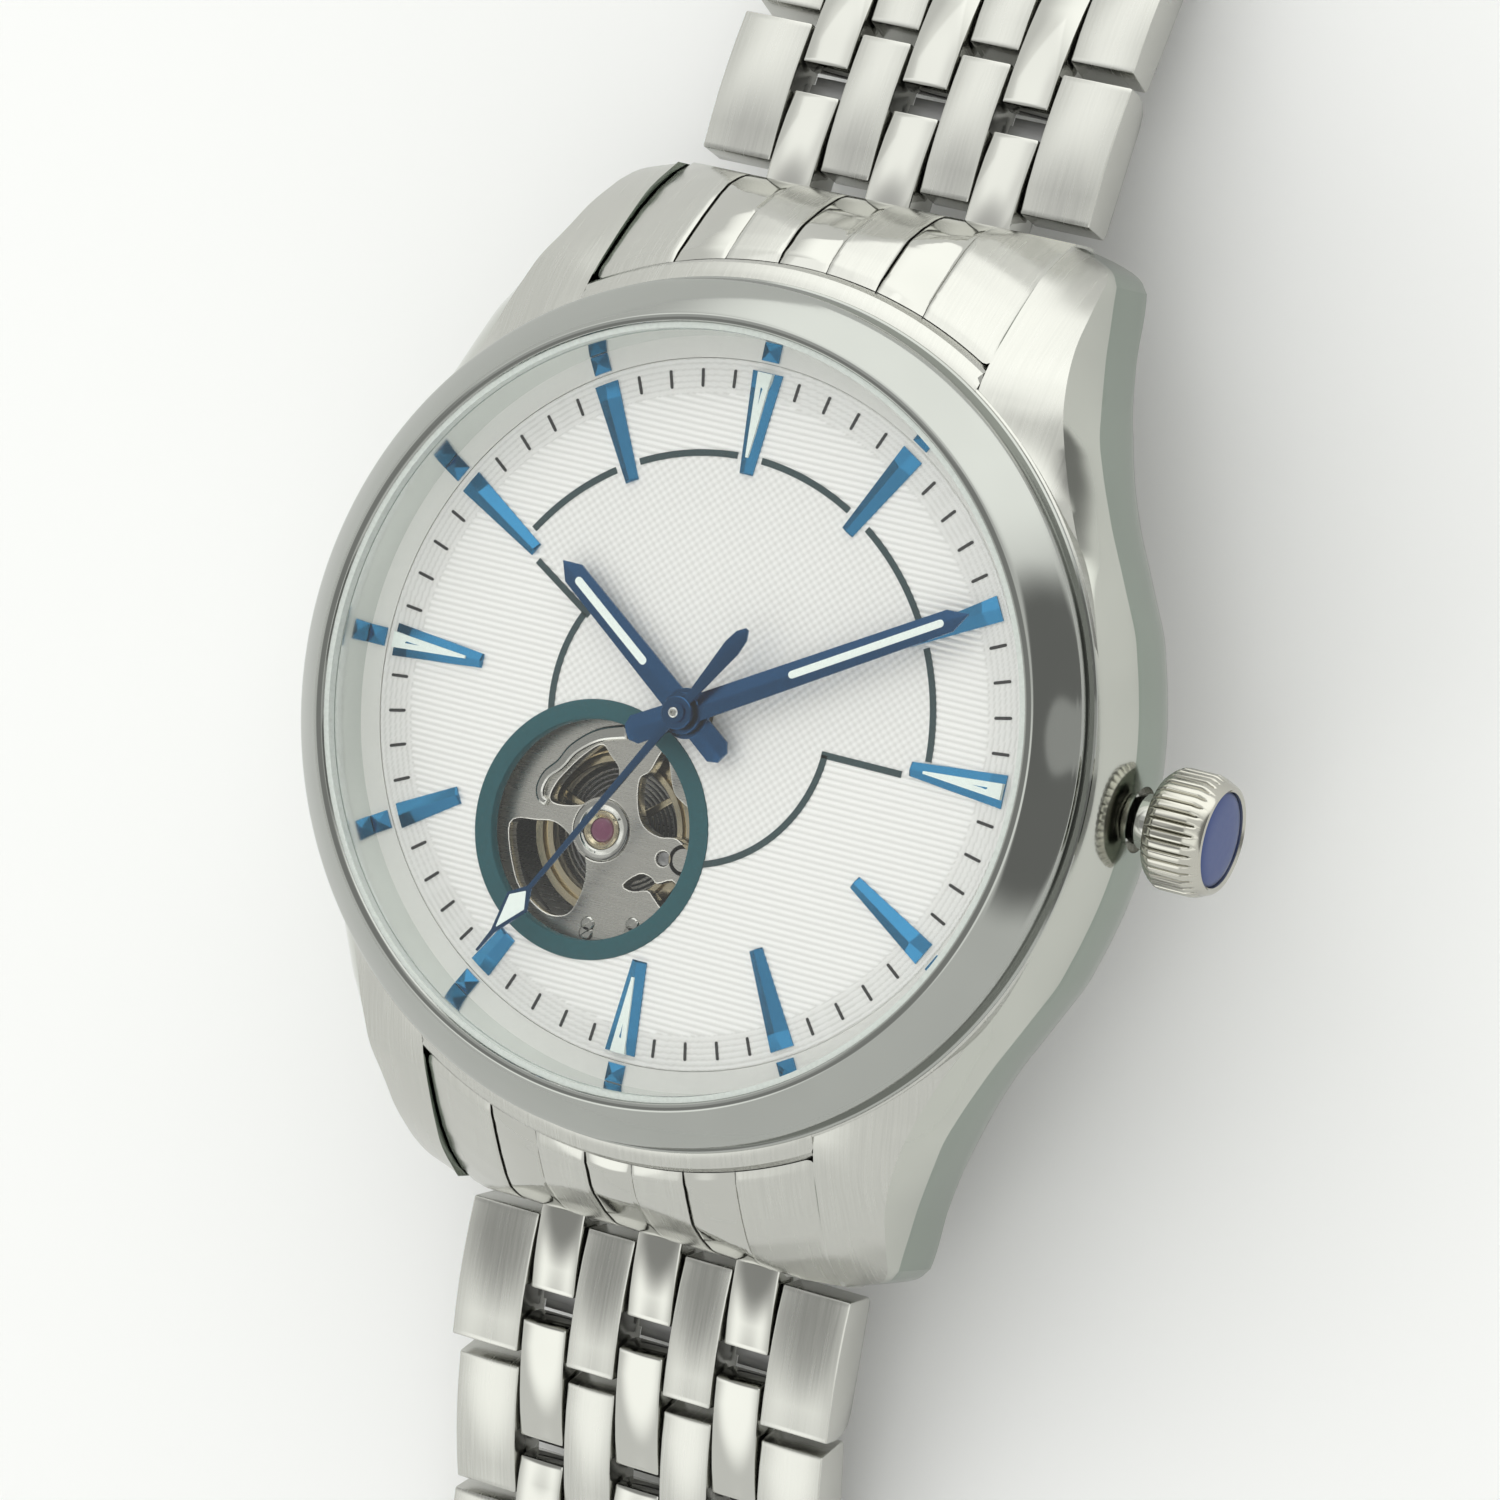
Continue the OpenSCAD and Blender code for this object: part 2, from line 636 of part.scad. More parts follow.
// Fluted crown with a bevelled rim
module crown() {
    color(bright) lift(stem_z) rotate([0, 90, 0]) difference() {
        intersection() {
            translate([0, 0, crown_x[0]]) linear_extrude(crown_x[1] - crown_x[0])
                polygon([for (i = [0 : flutes * 4 - 1]) let (r = crown_r - ((i % 4 < 2) ? 0 : 0.13))
                    [r * cos(90 * i / flutes), r * sin(90 * i / flutes)]]);
            rotate_extrude() polygon([[0, crown_x[0]], [2.45, crown_x[0]], [crown_r, crown_x[0] + 0.3],
                [crown_r, crown_x[1] - 0.5], [2.35, crown_x[1]], [0, crown_x[1]]]);
        }
        translate([0, 0, crown_x[1] - 0.25]) cylinder(r = cap_r + press, h = 1);
        translate([0, 0, crown_x[0] - 1]) cylinder(r = stem_r + press, h = 2.6);
    }
}
cap_r = 2.15;
// Blue inlay in the crown's end
module crown_cap() {
    color(blued) lift(stem_z) rotate([0, 90, 0]) translate([0, 0, crown_x[1] - 0.24])
        rotate_extrude() polygon([[0, 0], [cap_r, 0], [cap_r, 0.16], [0, 0.22]]);
}
// Winding stem with its sliding pinion
module winding_stem() {
    color(steel) lift(stem_z) rotate([0, 90, 0]) {
        translate([0, 0, 9]) cylinder(r = stem_r, h = crown_x[0] + 1.5 - 9);
        translate([0, 0, 9.2]) cylinder(r = 0.85, h = 1.6);
    }
}

// ================= Case back =================

// Screw-down case back with six key notches and a round window
module case_back() {
    color(steel) difference() {
        turned([[window_r + 0.6, back_z], [17.2, back_z], [back_r, back_z + 0.55],
            [back_r, case_low_z - 0.02],
            [17.3, case_low_z - 0.02], [17.3, -8.3], [window_r + 0.6, -8.3]]);
        for (i = [0 : 5]) rotate(60 * i + 30) translate([17.2, 0, -0.1]) cylinder(r = 0.85, h = 0.6);
    }
}
module case_back_glass() { color(glassy) disc(window_r, back_z, -8.55); }
module case_back_gasket() {
    color(rubber_black) ring(window_r + press, window_r + 0.6 - press, back_z + 0.1, -8.4);
}

// ================= Bracelet =================

bar_y = 22.95;
bar_tip_r = 0.42;
pin_r = 0.5;
// Height of the first hinge pin at 12 o'clock and at 6 o'clock
function bar_z(side) = side > 0 ? 1.25 : 1.1;

// Columns of one row: half widths of the polished and of the brushed links
polished_w = 2.3;
polished_x = 5.1;
middle_in = polished_w / 2 + column_gap;
middle_out = polished_x - polished_w / 2 - column_gap;
outer_in = polished_x + polished_w / 2 + column_gap;

// Ends of the links along a row, measured from the row's hinge pin
polished_u = [-0.9, 5.2];
brushed_u = [1.7, 8.4];
fixing_u = 3.4;

// Slope of each row below the horizontal, with the fourth row of each side reaching the table
table_z = -7.2;
lead_12 = [12, 21, 16];
lead_6 = [6.5, 22, 16];
function sum_sin(v) = [for (a = v) sin(a)] * [for (a = v) 1];
function landing(lead, side) = asin((bar_z(side) - link_t / 2 - table_z) / pitch - sum_sin(lead));
slope_12 = concat(lead_12, [landing(lead_12, 1), 0, 0, 0, 0]);
slope_6 = concat(lead_6, [landing(lead_6, -1), 0, 0]);
function hinge_y(slopes, k) = k == 0 ? bar_y : hinge_y(slopes, k - 1) + pitch * cos(slopes[k - 1]);
function hinge_z(slopes, side, k) =
    k == 0 ? bar_z(side) : hinge_z(slopes, side, k - 1) - pitch * sin(slopes[k - 1]);

// Puts a row, drawn along +Y from its hinge pin, in its place on one side of the case
module place_row(side, k) {
    slopes = side > 0 ? slope_12 : slope_6;
    rotate(side > 0 ? 0 : 180) translate([0, hinge_y(slopes, k), hinge_z(slopes, side, k)])
        rotate([-slopes[k], 0, 0]) children();
}

// Extrudes a side outline, drawn as [along the row, up], from x0 to x1
module across(x0, x1) { translate([x0, 0, 0]) rotate([90, 0, 90]) linear_extrude(x1 - x0) children(); }

// Side outline of a link: flat ends with small bevels, and an end rounded about a pin
module link_side(u0, u1, round_at) {
    h = link_t / 2;
    c = 0.25;
    edge = round_at > (u0 + u1) / 2 ? u1 : u0;
    other = round_at > (u0 + u1) / 2 ? u0 : u1;
    d = edge > other ? -1 : 1;
    difference() {
        union() {
            intersection() {
                translate([round_at, 0]) circle(r = h, $fn = 48);
                translate([min(edge, round_at), -h]) square([abs(edge - round_at), h]);
            }
            polygon([[round_at, -h], [other - d * c, -h], [other, -h + c], [other, h - c], [other - d * c, h],
                [edge + d * c, h], [edge, h - c], [edge, 0], [round_at, 0]]);
        }
        translate([round_at, 0]) circle(r = pin_r + run, $fn = 32);
        translate([fixing_u, 0]) circle(r = pin_r + press, $fn = 32);
    }
}

// One row: four brushed links, three polished links and its pins. The first row turns on a spring bar
module link_row(width, own_pin = true) {
    outer = width / 2;
    color(steel) for (s = [-1, 1]) {
        across(min(s * middle_in, s * middle_out), max(s * middle_in, s * middle_out))
            link_side(brushed_u[0], brushed_u[1], pitch);
        across(min(s * outer_in, s * outer), max(s * outer_in, s * outer))
            link_side(brushed_u[0], brushed_u[1], pitch);
    }
    color(bright) for (x = [-polished_x, 0, polished_x]) across(x - polished_w / 2, x + polished_w / 2)
        link_side(polished_u[0], polished_u[1], 0);
    color(steel) {
        if (own_pin) across(-outer + 0.7, outer - 0.7) circle(r = pin_r, $fn = 32);
        across(-outer + 0.3, outer - 0.3) translate([fixing_u, 0]) circle(r = pin_r, $fn = 32);
    }
}
module row_of(side, k) { place_row(side, k - 1) link_row(k == 1 ? first_row_w : row_w, k > 1); }
module row_12(k) { row_of(1, k); }
module row_6(k) { row_of(-1, k); }

// Curved top of an end link, turned about the watch's axis, and its front seen from the side
end_top = [[case_r + 0.06, -12], [case_r + 0.06, -2.9], [20.48, -1.7], [20.36, -1.15], [20.3, -0.95],
    [20.9, -1.2], [21.6, -1.8], [22.6, -2.75], [23.6, -3.8], [24.6, -5.1], [25.4, -6.5], [26, -8], [26, -12]];
end_side = [[17, 0], [21.3, -1.35], [22.3, -2.6], [23.2, -4.2], [23.8, -5.6], [24.05, -6.7], [24.05, -9.1],
    [23.6, -10.2], [21.4, -10.2], [20.2, -8.3], [17, -7.6]];
slot_r = 1.65;
// End link between two lugs: seven columns, with slots under its front for the first row's tongues
module end_link(side) {
    rotate(side > 0 ? 0 : 180) color(steel) difference() {
        intersection() {
            lift(0) rotate_extrude($fn = round_fn) polygon(end_top);
            translate([-lug_gap / 2 + 0.05, 0, dial_z]) rotate([90, 0, 90]) linear_extrude(lug_gap - 0.1)
                polygon(end_side);
        }
        translate([0, bar_y, bar_z(side)]) {
            across(-11, 11) circle(r = pin_r, $fn = 48);
            for (x = [-polished_x, 0, polished_x]) across(x - middle_in, x + middle_in)
                union() {
                    circle(r = slot_r, $fn = 48);
                    translate([0, -4]) square([4, 4 + link_t / 2 + 0.25]);
                }
        }
    }
}
// The two sprung bars that hold the end links between the lugs
module spring_bars() {
    color(steel) for (s = [1, -1]) rotate(s > 0 ? 0 : 180) translate([0, bar_y, bar_z(s)]) {
        across(-lug_gap / 2 + 0.3, lug_gap / 2 - 0.3) circle(r = pin_r - run, $fn = 32);
        for (m = [0, 1]) mirror([m, 0, 0]) across(lug_gap / 2 - 0.3, lug_gap / 2 + 0.9)
            circle(r = bar_tip_r, $fn = 32);
    }
}

// ================= Clasp =================

cover_len = 20;
cover_w = 18.4;
cover_high = 2.3;
cover_roof = 1.45;
blade_w = 14;
blade_t = 1.0;
fold_r = 0.4;
knuckle_r = 0.75;
// Places of the two folding hinges, along the clasp and up, and of the free end's bar
fold_at = [21.2, 0.6];
inner_fold_at = [4.6, 0.6];
bar_end_at = [20.6, -0.7];
button_at = [9, 0.5];
button_size = [1.3, 5, 1.5];
// The clasp is drawn along +Y from its hinge pin, like a row
module place_clasp() { place_row(1, 7) children(); }
module pin_at(p, half, r) { across(-half, half) translate(p) circle(r = r, $fn = 32); }

// Folding cover: a shallow channel with a hinge pin at each end
module clasp_cover() {
    color(steel) place_clasp() difference() {
        union() {
            across(-cover_w / 2, cover_w / 2) polygon([[1.9, -1.2], [1.9, 2.0], [2.3, cover_high],
                [cover_len + 1.6, cover_high], [cover_len + 2, 2.0], [cover_len + 2, -1.2]]);
            for (x = [-polished_x, 0, polished_x]) across(x - polished_w / 2, x + polished_w / 2)
                union() { circle(r = 1.1, $fn = 48); translate([0, -1.1]) square([2.2, 2.2]); }
        }
        pin_at([0, 0], row_w, pin_r + press);
        across(-blade_w / 2 - 0.2, blade_w / 2 + 0.2)
            translate([3.2, -2]) square([cover_len, cover_roof + 2]);
        pin_at(fold_at, cover_w, fold_r + press);
        for (s = [-1, 1]) translate([s * (cover_w / 2 - 0.3), button_at.x, button_at.y]) {
            cube([2.8, 5.2, 1.7], center = true);
            rotate([0, 90, 0]) cylinder(r = 0.45, h = 6, center = true);
        }
    }
    color(steel) place_clasp() {
        pin_at([0, 0], row_w / 2 - 0.7, pin_r);
        pin_at(fold_at, cover_w / 2 - 0.3, fold_r);
    }
}
// Outer blade: from the cover's far hinge back under the cover
module clasp_outer_blade() {
    start = inner_fold_at.x + 0.9;
    color(bright) place_clasp() difference() {
        union() {
            across(-blade_w / 2, blade_w / 2) {
                translate([start, fold_at.y - blade_t / 2]) square([fold_at.x - start, blade_t]);
                translate(fold_at) circle(r = knuckle_r, $fn = 32);
            }
            for (m = [-1, 1]) across(m * 4 - 1, m * 4 + 1) translate(inner_fold_at) {
                circle(r = knuckle_r, $fn = 32);
                translate([0, -blade_t / 2]) square([1.2, blade_t]);
            }
        }
        pin_at(fold_at, cover_w, fold_r + run);
        pin_at(inner_fold_at, cover_w, fold_r + press);
        across(-3.6, 3.6) translate([7.2, -2]) square([9.6, 4]);
    }
    color(steel) place_clasp() pin_at(inner_fold_at, 4.8, fold_r);
}
// Inner blade: folds back from the outer blade; its free end takes the last row at 6 o'clock
module clasp_inner_blade() {
    low = -link_t / 2;
    color(bright) place_clasp() difference() {
        union() {
            across(-2.85, 2.85) {
                translate(inner_fold_at) circle(r = knuckle_r, $fn = 32);
                polygon([[inner_fold_at.x - knuckle_r, inner_fold_at.y], [inner_fold_at.x - knuckle_r, low],
                    [6.4, low], [6.4, low + blade_t], [5.1, low + blade_t],
                    [inner_fold_at.x + knuckle_r, 0]]);
            }
            across(-blade_w / 2, blade_w / 2) {
                translate([6.0, low]) square([bar_end_at.x - 6, blade_t]);
                translate(bar_end_at) circle(r = blade_t / 2, $fn = 32);
            }
        }
        pin_at(inner_fold_at, cover_w, fold_r + run);
        pin_at(bar_end_at, cover_w, 0.3);
    }
}
// Push button in one side of the cover
module clasp_button(s) {
    color(bright) place_clasp() translate([s * (cover_w / 2 - 0.35), button_at.x, button_at.y]) {
        cube(button_size, center = true);
        translate([-s * 0.85, 0, 0]) rotate([0, 90, 0]) cylinder(r = fold_r, h = 0.6, center = true);
    }
}
module clasp_button_left() { clasp_button(-1); }
module clasp_button_right() { clasp_button(1); }

case_middle();
bezel();
crystal();
crystal_gasket();
flange_ring();
flange_studs();
dial();
open_heart_ring();
hour_markers();
movement_ring();
main_plate();
train_bridge();
balance_bridge();
automatic_bridge();
jewels();
movement_screws();
crown_tube();
case_back();
case_back_glass();
case_back_gasket();
end_link(1);  // end_link_12
end_link(-1);  // end_link_6
spring_bars();
hour_hand();
minute_hand();
seconds_hand();
hour_wheel();
minute_wheel();
cannon_pinion();
fourth_wheel();
third_wheel();
centre_wheel();
mainspring_barrel();
escape_wheel();
pallet_fork();
balance_wheel();
hairspring();
rotor();
crown();
crown_cap();
winding_stem();
crown_gasket();
row_12(1);  // row_12_1
row_12(2);  // row_12_2
row_12(3);  // row_12_3
row_12(4);  // row_12_4
row_12(5);  // row_12_5
row_12(6);  // row_12_6
row_12(7);  // row_12_7
row_6(1);  // row_6_1
row_6(2);  // row_6_2
row_6(3);  // row_6_3
row_6(4);  // row_6_4
row_6(5);  // row_6_5
row_6(6);  // row_6_6
clasp_cover();
clasp_outer_blade();
clasp_inner_blade();
clasp_button_left();
clasp_button_right();
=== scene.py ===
import json
import math

import bmesh
import bpy
import numpy as np
from mathutils import Matrix, Vector


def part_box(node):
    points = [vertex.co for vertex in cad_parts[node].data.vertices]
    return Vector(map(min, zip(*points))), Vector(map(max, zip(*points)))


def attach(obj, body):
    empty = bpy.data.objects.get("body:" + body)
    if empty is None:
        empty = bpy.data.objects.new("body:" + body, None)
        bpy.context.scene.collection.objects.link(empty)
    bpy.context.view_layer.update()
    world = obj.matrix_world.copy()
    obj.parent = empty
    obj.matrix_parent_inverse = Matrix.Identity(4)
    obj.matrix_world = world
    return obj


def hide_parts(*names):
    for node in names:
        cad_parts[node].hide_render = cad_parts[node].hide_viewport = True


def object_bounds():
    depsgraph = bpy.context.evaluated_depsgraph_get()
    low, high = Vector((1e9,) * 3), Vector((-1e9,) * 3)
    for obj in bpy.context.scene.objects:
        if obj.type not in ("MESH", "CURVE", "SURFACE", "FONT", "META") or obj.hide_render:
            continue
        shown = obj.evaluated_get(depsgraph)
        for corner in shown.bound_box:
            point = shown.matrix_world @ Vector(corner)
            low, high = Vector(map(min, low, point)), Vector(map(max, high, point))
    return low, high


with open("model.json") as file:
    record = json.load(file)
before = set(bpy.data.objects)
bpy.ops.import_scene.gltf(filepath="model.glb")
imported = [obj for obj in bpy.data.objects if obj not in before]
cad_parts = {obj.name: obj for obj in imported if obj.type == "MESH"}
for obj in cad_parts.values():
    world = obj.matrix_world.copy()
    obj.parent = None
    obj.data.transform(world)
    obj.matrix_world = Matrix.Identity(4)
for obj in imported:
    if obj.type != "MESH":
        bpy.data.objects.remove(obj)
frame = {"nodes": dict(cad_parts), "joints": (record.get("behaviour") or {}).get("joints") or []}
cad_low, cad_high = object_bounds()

# Everything below is written in millimetres and scaled to metres when a mesh is made.
# Heights that are read from the CAD nodes are absolute; the others count from the dial's top, DIAL_Z.
MM = 0.001
DIAL_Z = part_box("dial")[1].z / MM
DIAL_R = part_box("dial")[1].x / MM
RING_LOW, RING_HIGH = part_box("open_heart_ring")
HEART = ((RING_LOW.x + RING_HIGH.x) / 2 / MM, (RING_LOW.y + RING_HIGH.y) / 2 / MM)
HEART_R = (RING_HIGH.x - RING_LOW.x) / 2 / MM
TABLE_Z = cad_low.z / MM
DIAL_SKIN = 0.024  # middle height of the patterned face
DIAL_RELIEF = 0.018  # its crests and grooves, up and down from there

# Colour sockets of a Mix node, and the values between which most of a noise pattern lies.
MIX_A, MIX_B, MIX_OUT = 6, 7, 2
PATTERN_LOW, PATTERN_HIGH = 0.3, 0.7


# ---- materials

class Finish:
    """A principled material and short calls for the nodes that shape it."""

    def __init__(self, name, colour, metallic=0.0, roughness=0.5, **sockets):
        self.material = bpy.data.materials.new(name)
        self.material.use_nodes = True
        self.tree = self.material.node_tree
        self.shader = self.tree.nodes["Principled BSDF"]
        self.put(self.shader, "Base Color", (*colour, 1.0))
        self.put(self.shader, "Metallic", metallic)
        self.put(self.shader, "Roughness", roughness)
        for key, value in sockets.items():
            self.put(self.shader, key.replace("_", " "), value)
        self.colour = colour

    def put(self, node, socket, value):
        node.inputs[socket].default_value = value

    def node(self, kind, **values):
        made = self.tree.nodes.new(kind)
        for key, value in values.items():
            setattr(made, key, value)
        return made

    def link(self, a, b):
        self.tree.links.new(a, b)

    def coordinates(self, scale):
        """Object coordinates in millimetres, scaled so that 1 is one feature of the pattern."""
        source = self.node("ShaderNodeTexCoord")
        mapping = self.node("ShaderNodeMapping")
        self.put(mapping, "Scale", [s / MM for s in scale])
        self.link(source.outputs["Object"], mapping.inputs["Vector"])
        return mapping.outputs["Vector"]

    def noise(self, vector, detail=2.0):
        made = self.node("ShaderNodeTexNoise")
        self.put(made, "Scale", 1.0)
        self.put(made, "Detail", detail)
        self.link(vector, made.inputs["Vector"])
        return made.outputs["Fac"]

    def ramp(self, factor, low, high):
        """Maps a 0 to 1 pattern onto low to high."""
        made = self.node("ShaderNodeMapRange")
        self.put(made, "From Min", PATTERN_LOW)
        self.put(made, "From Max", PATTERN_HIGH)
        self.put(made, "To Min", low)
        self.put(made, "To Max", high)
        self.link(factor, made.inputs["Value"])
        return made.outputs["Result"]

    def shade(self, factor, spread):
        """Lightens and darkens the base colour with a pattern."""
        mix = self.node("ShaderNodeMix", data_type="RGBA")
        self.put(mix, MIX_A, [min(1.0, c * (1 - spread)) for c in self.colour] + [1.0])
        self.put(mix, MIX_B, [min(1.0, c * (1 + spread)) for c in self.colour] + [1.0])
        self.link(self.ramp(factor, 0.0, 1.0), mix.inputs["Factor"])
        self.link(mix.outputs[MIX_OUT], self.shader.inputs["Base Color"])
        return self

    def rough(self, factor, low, high):
        self.link(self.ramp(factor, low, high), self.shader.inputs["Roughness"])
        return self

    def bump(self, height, depth_mm, strength):
        made = self.node("ShaderNodeBump")
        self.put(made, "Strength", strength)
        self.put(made, "Distance", depth_mm * MM)
        self.link(height, made.inputs["Height"])
        self.link(made.outputs["Normal"], self.shader.inputs["Normal"])
        return self


def brushed(name, colour, along, roughness=0.3, grain=0.1, depth=0.0002, spread=0.03):
    """Steel with fine lines that run along X (0) or Y (1), on level and on sloping faces."""
    made = Finish(name, colour, metallic=1.0, roughness=roughness)
    scale = [1 / (grain * 35)] * 3
    scale[1 - along] = 1 / grain
    lines = made.noise(made.coordinates(scale), detail=1.0)
    made.shade(lines, spread)
    made.rough(lines, roughness * 0.92, roughness * 1.1)
    return made.bump(lines, depth, 0.5).material


def polished(name, colour, roughness=0.08, metallic=1.0):
    """Polished metal with faint waves and the odd soft handling mark."""
    made = Finish(name, colour, metallic=metallic, roughness=roughness)
    waves = made.noise(made.coordinates([0.3] * 3), detail=1.0)
    marks = made.noise(made.coordinates([3.0] * 3), detail=2.0)
    made.rough(marks, roughness * 0.92, roughness * 1.08)
    made.shade(waves, 0.02)
    return made.bump(waves, 0.003, 0.2).material


def lacquer(name, colour, roughness=0.3, metallic=0.0, spread=0.06, **sockets):
    """Painted, printed or plated colour with a slight mottle."""
    made = Finish(name, colour, metallic=metallic, roughness=roughness, **sockets)
    mottle = made.noise(made.coordinates([6.0] * 3), detail=3.0)
    made.shade(mottle, spread)
    return made.rough(mottle, roughness * 0.85, roughness * 1.2).material


def groove_shaded_lacquer(name, colour, z_low, z_high, spread, **sockets):
    """Lacquer with painted shade: darker in the grooves, at z_low in millimetres, than on the crests, at
    z_high.
    """
    made = Finish(name, colour, **sockets)
    split = made.node("ShaderNodeSeparateXYZ")
    made.link(made.coordinates([1.0] * 3), split.inputs["Vector"])
    # The face's height sets the painted shade: the lower, the darker.
    height = made.node("ShaderNodeMapRange")
    made.put(height, "From Min", z_low)
    made.put(height, "From Max", z_high)
    made.put(height, "To Min", PATTERN_LOW)
    made.put(height, "To Max", PATTERN_HIGH)
    made.link(split.outputs["Z"], height.inputs["Value"])
    made.shade(height.outputs["Result"], spread)
    return made.rough(made.noise(made.coordinates([6.0] * 3)), 0.33, 0.43).material


def clear(name, colour, ior):
    """Thin clear glass: mostly see-through, with a reflection that grows at glancing angles."""
    made = Finish(name, colour, roughness=0.02, IOR=ior)
    made.put(made.shader, "Alpha", 0.02)
    smear = made.noise(made.coordinates([0.2] * 3), detail=1.0)
    made.rough(smear, 0.01, 0.05)
    return made.material


MAT = {
    "brushed": brushed("steel_brushed", (0.52, 0.52, 0.49), 1, roughness=0.25),
    # The flank: the shoulder's polished steel made darker and greener, a painted reflection of the shaded
    # floor below.
    "flank": polished("steel_flank_painted_shade", (0.29, 0.33, 0.29), 0.16),
    "shoulder": polished("steel_shoulder", (0.50, 0.51, 0.47), 0.1),
    "polished": polished("steel_polished", (0.50, 0.50, 0.47), 0.09),
    # The bezel's steel is darker than the other polished steel: painted shade in its reflections.
    "bezel": polished("bezel_polished_painted_shade", (0.38, 0.39, 0.37), 0.08),
    "crown": polished("crown_polished", (0.50, 0.49, 0.44), 0.14),
    "rehaut": polished("rehaut_silver", (0.66, 0.70, 0.68), 0.12),
    "dial": lacquer("dial_silver", (0.80, 0.80, 0.77), roughness=0.38, metallic=0.35, spread=0.02),
    # The dial's face, with shade painted into its grooves.
    "dial_painted_groove_shade": groove_shaded_lacquer("dial_painted_groove_shade", (0.89, 0.89, 0.865), DIAL_Z + DIAL_SKIN - DIAL_RELIEF,
                          DIAL_Z + DIAL_SKIN + DIAL_RELIEF, 0.14, metallic=0.35),
    "black": lacquer("print_black", (0.02, 0.02, 0.02), roughness=0.5),
    "teal": lacquer("teal_lacquer", (0.012, 0.08, 0.095), roughness=0.5, spread=0.08,
                    Specular_IOR_Level=0.25),
    "line": lacquer("line_teal", (0.022, 0.05, 0.055), roughness=0.4, spread=0.12),
    "blue": polished("blue_plated", (0.03, 0.17, 0.32), 0.2),
    "hand_blue": polished("hand_blue", (0.022, 0.08, 0.18), 0.25),
    "lume": lacquer("lume_white", (0.80, 0.88, 0.84), roughness=0.6, spread=0.03),
    "glass": clear("crystal_clear", (1.0, 1.0, 1.0), 1.15),
    "plate": brushed("movement_plate", (0.56, 0.55, 0.51), 0, roughness=0.28, grain=0.04),
    "gilt": polished("gilt_brass", (0.58, 0.51, 0.36), 0.22),
    "ruby": lacquer("ruby", (0.17, 0.05, 0.10), roughness=0.12),
    # Dark steel for small movement parts, and as painted shade on the steps in the bracelet's gaps.
    "dark_steel_and_gap_shade": brushed("dark_steel_and_gap_shade", (0.22, 0.22, 0.22), 0, roughness=0.35),
    "rubber": lacquer("rubber_black", (0.02, 0.02, 0.022), roughness=0.7),
    "seal": lacquer("crystal_seal", (0.62, 0.66, 0.63), roughness=0.4),
    "cap_blue": polished("cap_blue", (0.03, 0.06, 0.21), 0.3, metallic=0.2),
}


# ---- mesh helpers

def piece(name, verts, faces, body, materials, replaces=(), slot=None, smooth=35, face_slots=None):
    """Makes one object from points in millimetres and lets it ride on a CAD body."""
    data = bpy.data.meshes.new(name)
    data.from_pydata([(x * MM, y * MM, z * MM) for x, y, z in verts], [], faces)
    for material in materials:
        data.materials.append(MAT[material])
    if face_slots is not None:
        data.polygons.foreach_set("material_index", face_slots)
    data.validate()
    data.shade_smooth()
    data.set_sharp_from_angle(angle=math.radians(smooth))
    obj = bpy.data.objects.new(name, data)
    bpy.context.collection.objects.link(obj)
    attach(obj, body)
    if replaces:
        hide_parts(*replaces)
    return obj


class Shape:
    """Collects points and faces, with a material number for each face."""

    def __init__(self):
        self.verts = []
        self.faces = []
        self.slots = []

    def add(self, verts, faces, slot=0):
        """Takes one material number for all the faces, or a list with one for each."""
        start = len(self.verts)
        self.verts += [tuple(v) for v in verts]
        self.faces += [tuple(start + i for i in f) for f in faces]
        self.slots += slot if isinstance(slot, list) else [slot] * len(faces)
        return self

    def join(self, other):
        return self.add(other.verts, other.faces, other.slots)

    def moved(self, matrix):
        self.verts = [tuple(matrix @ Vector(v)) for v in self.verts]
        return self

    def make(self, name, body, materials, **options):
        return piece(name, self.verts, self.faces, body, materials, face_slots=self.slots, **options)


def loft(sections, closed=False, caps=True):
    """Faces between rings of equal length; each ring is a closed loop of points."""
    n = len(sections[0])
    verts = [p for ring in sections for p in ring]
    faces = []
    count = len(sections)
    for k in range(count if closed else count - 1):
        a, b = k * n, (k + 1) % count * n
        faces += [(a + i, a + (i + 1) % n, b + (i + 1) % n, b + i) for i in range(n)]
    if caps and not closed:
        faces.append(tuple(reversed(range(n))))
        faces.append(tuple(range((count - 1) * n, count * n)))
    return verts, faces


def lathe(profile, steps=160, start=0.0, sweep=360.0, centre=(0, 0)):
    """Turns a closed profile of (radius, height) about a vertical axis."""
    full = abs(sweep - 360) < 1e-6
    count = steps if full else steps + 1
    rings = []
    for k in range(count):
        a = math.radians(start + sweep * k / steps)
        rings.append([(centre[0] + r * math.cos(a), centre[1] + r * math.sin(a), z) for r, z in profile])
    return loft(rings, closed=full)


def prism(outline, z0, z1):
    """An outline of (x, y) points raised from z0 to z1."""
    return loft([[(x, y, z0) for x, y in outline], [(x, y, z1) for x, y in outline]])


def spin(points, degrees_clockwise):
    """Turns (x, y) or (x, y, z) points clockwise, as seen from above."""
    c, s = math.cos(math.radians(-degrees_clockwise)), math.sin(math.radians(-degrees_clockwise))
    return [(p[0] * c - p[1] * s, p[0] * s + p[1] * c, *p[2:]) for p in points]


def arc(r, a, b, steps=24, centre=(0, 0)):
    """Points (x, y) from a to b degrees, both ends included."""
    return [(centre[0] + r * math.cos(math.radians(a + (b - a) * i / steps)),
             centre[1] + r * math.sin(math.radians(a + (b - a) * i / steps))) for i in range(steps + 1)]


